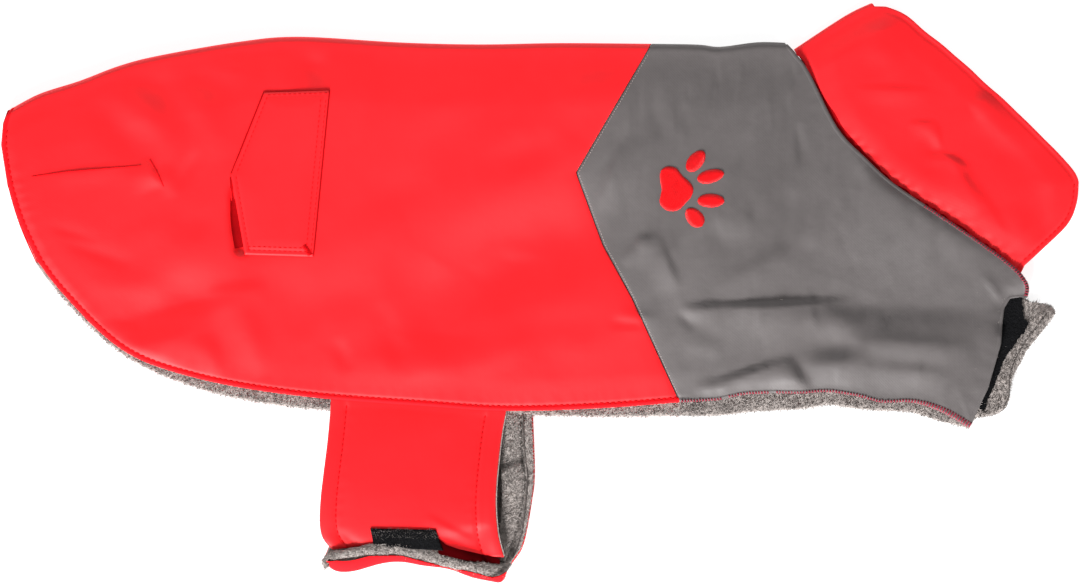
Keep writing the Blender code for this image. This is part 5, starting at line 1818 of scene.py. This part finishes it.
def thread_finish(name, color, roughness=0.45, sheen=0.2, specular=0.4):
    """Sewing thread, cloth too narrow to show its weave, and the painted shade of dark lines and strips."""
    made, tree, shader = new_material(name, roughness, specular, sheen)
    slow = use_group(tree, mottling, {"At": on_piece(tree), "Size": 0.006})
    dark = [0.8 * c for c in color]
    set_inputs(tree, shader, {"Base Color": shaded(tree, slow, dark, color)})
    return made


# %% The coat's finishes
SHELL_THREAD, STRETCH_THREAD = 0.0006, 0.0007  # width of the weave's threads
red_shell = coated_cloth(
    "red_rain_shell", (0.90, 0.0048, 0.0105), (0.97, 0.0062, 0.0125), 0.58, 0.40, SHELL_THREAD, 0.2, 0.06)
# A duller copy of the red shell for the rolled hem and the far strap. Its slightly darker red is painted shade on
# these edges, which face the key light.
red_shell_shaded_copy = coated_cloth(
    "red_shell_painted_shade", (0.80, 0.0045, 0.010), (0.90, 0.0060, 0.012), 0.75, 0.12, SHELL_THREAD, 0.2, 0.1)
grey_shell = coated_cloth(
    "grey_stretch_shell", (0.098, 0.087, 0.086), (0.122, 0.108, 0.107), 0.6, 0.45, STRETCH_THREAD, 0.25, 0.1)
# Dark red cloth of the pocket bag and of the strip at the collar's base: its darkness is painted shade.
painted_shade_cloth = coated_cloth(
    "dark_red_painted_shade_cloth", (0.28, 0.0012, 0.0030), (0.38, 0.0018, 0.0040), 0.9, 0.05, SHELL_THREAD, 0.2, 0.1)
fleece = pile("grey_fleece", (0.20, 0.172, 0.160), (0.43, 0.380, 0.355), 0.0022, 0.9)
tape_black = pile("hook_and_loop_black", (0.0015, 0.0015, 0.002), (0.008, 0.008, 0.009), 0.0010, 1.0, 0.0)
red_thread = thread_finish("red_sewing_thread", (0.82, 0.004, 0.009), 0.6, 0.0, 0.05)
# The next two are the colours of the painted shade lines, in the fleece's grooves and at the flap's and tail's
# edges.
painted_shade_grey = thread_finish("dark_grey_painted_shade", (0.10, 0.085, 0.08), 0.7, 0.0, 0.1)
painted_shade_red = thread_finish("dark_red_painted_shade", (0.50, 0.002, 0.005), 0.7, 0.0, 0.05)
pale_thread = thread_finish("pale_sewing_thread", (0.46, 0.40, 0.38))
rose_thread = thread_finish("rose_overlock_thread", (0.34, 0.03, 0.055), 0.7, 0.0, 0.1)
# Near-black finish of the painted shadow strip behind the lip.
painted_shadow_finish = thread_finish("dark_red_painted_shadow", (0.05, 0.0008, 0.0016), 0.9, 0.0, 0.0)
loop_thread = thread_finish("pale_tape_loops", (0.20, 0.18, 0.17), 0.7, 0.0, 0.1)
satin_thread = thread_finish("red_satin_thread", (0.86, 0.006, 0.010), 0.4, 0.0, 0.25)
print("finishes:", ", ".join(sorted(made.name for made in bpy.data.materials)))

# %% [markdown]
# ## Pieces, finishes and the frame
#
# Each piece rides on the coat's one body, takes its finish, and stands for the solid under it. The
# sheets state the cut of the cloth that they show.

# %% Finishes of the pieces
FINISHES = [  # finish, slot of the frame that it fills, pieces
    (red_shell, "red_shell", [back_panel, collar, pocket_flap, near_strap]),
    (red_shell_shaded_copy, "red_shell", [back_hem, far_strap]),
    (grey_shell, "grey_shell", [yoke_panel, yoke_hem, far_yoke_hem]),
    (fleece, "fleece", [
        lining, near_strap_lining, far_strap_lining, strap_lip, lip_end, strap_tongue, lining_nap, strap_nap,
        lip_nap, end_nap, tongue_nap,
    ]),
    (tape_black, "hook_and_loop", [strap_tape, chest_tape]),
    (red_thread, None, [red_stitches, strap_stitches, soft_seams]),
    (painted_shade_grey, None, [fleece_painted_shade_seams]),
    (pale_thread, None, [seam_stitches]),
    (rose_thread, None, [yoke_overlock]),
    (satin_thread, None, [paw, paw_padding]),
    (painted_shade_red, None, [painted_shade_seams]),
    (painted_shade_cloth, None, [pocket_bag_painted_shade, neck_painted_shade]),
    (painted_shadow_finish, None, [painted_shadow_strip]),
    (loop_thread, None, [tape_nap]),
]
for finish, slot_name, pieces in FINISHES:
    for piece in pieces:
        piece.data.materials.clear()
        piece.data.materials.append(finish)
        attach(piece, "root")

# %% Solids that the pieces stand for
REPLACED = [
    (back_panel, "back_panel"), (yoke_panel, "front_yoke"), (lining, "lining"), (collar, "collar"),
    (pocket_flap, "pocket_flap"), (near_strap, "belly_strap_near"), (near_strap_lining, "belly_strap_near_lining"),
    (far_strap, "belly_strap_far"), (far_strap_lining, "belly_strap_far_lining"), (strap_tape, "strap_tape"),
    (chest_tape, "chest_tape"),
]
for piece, node_name in REPLACED:
    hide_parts(node_name)

# %% [markdown]
# ## The photograph's setting
#
# The coat lies on a white ground and the camera looks straight down from 3 m, so the view is almost
# parallel. A large soft light stands low at the lower left, as the shadows of the raised edges show, and
# two faint ones lift the chest and the fold. The sky is brightest near the horizon, because light from
# straight above would wash out the creases.

# %% Ground
bm = bmesh.new()
bmesh.ops.create_grid(bm, x_segments=1, y_segments=1, size=6)
ground = new_object("ground", new_mesh("ground", bm))
white, _, white_shader = new_material("white_ground", 0.9, 0.0)
white_shader.inputs["Base Color"].default_value = (0.5, 0.5, 0.5, 1)
white_shader.inputs["Emission Color"].default_value = (1.0, 1.0, 1.0, 1)
white_shader.inputs["Emission Strength"].default_value = 0.8
ground.data.materials.append(white)

# %% Lights


def area_light(name, at, size, power):
    """A round soft light that points at the coat."""
    light = bpy.data.lights.new(name, "AREA")
    light.shape, light.size, light.energy = "DISK", size, power
    made = new_object(name, light)
    made.location = at
    made.rotation_euler = (-Vector(at)).to_track_quat("-Z", "Y").to_euler()


area_light("key_light", (-0.80, -2.42, 1.34), 0.9, 190)
area_light("right_light", (1.15, -0.75, 0.62), 0.5, 4)
area_light("fold_light", (-0.2, 1.4, 0.7), 0.9, 6)

# %% Camera
CAMERA_HEIGHT, SENSOR = 3.0, 36.0  # metres, millimetres
PHOTO_WIDTH, PHOTO_HEIGHT = 1080, 587
camera = new_object("camera", bpy.data.cameras.new("camera"))
middle = np.array(at_pixel(PHOTO_WIDTH / 2, PHOTO_HEIGHT / 2)) - CENTRE
camera.location = (*(middle * MM), CAMERA_HEIGHT)
camera.data.sensor_width = SENSOR
camera.data.lens = SENSOR * CAMERA_HEIGHT / (PHOTO_WIDTH * PIXEL * MM)
bpy.context.scene.camera = camera
print(f"lens: {camera.data.lens:.1f} mm")

# %% Sky
SKY = {"From Min": 0.35, "From Max": 0.9, "To Min": 0.75, "To Max": 0.04}  # height in the sky, strength
world = bpy.data.worlds.new("studio")
world.use_nodes = True
background = world.node_tree.nodes["Background"]
background.inputs["Color"].default_value = (1.0, 1.0, 1.0, 1)
way = add_node(world.node_tree, "TexCoord").outputs["Generated"]
sky = add_node(world.node_tree, "SeparateXYZ", {0: way})
strength = add_node(world.node_tree, "MapRange", {"Value": sky.outputs["Z"], **SKY})
world.node_tree.links.new(strength.outputs[0], background.inputs["Strength"])
bpy.context.scene.world = world
bpy.context.scene.view_settings.view_transform = "Standard"
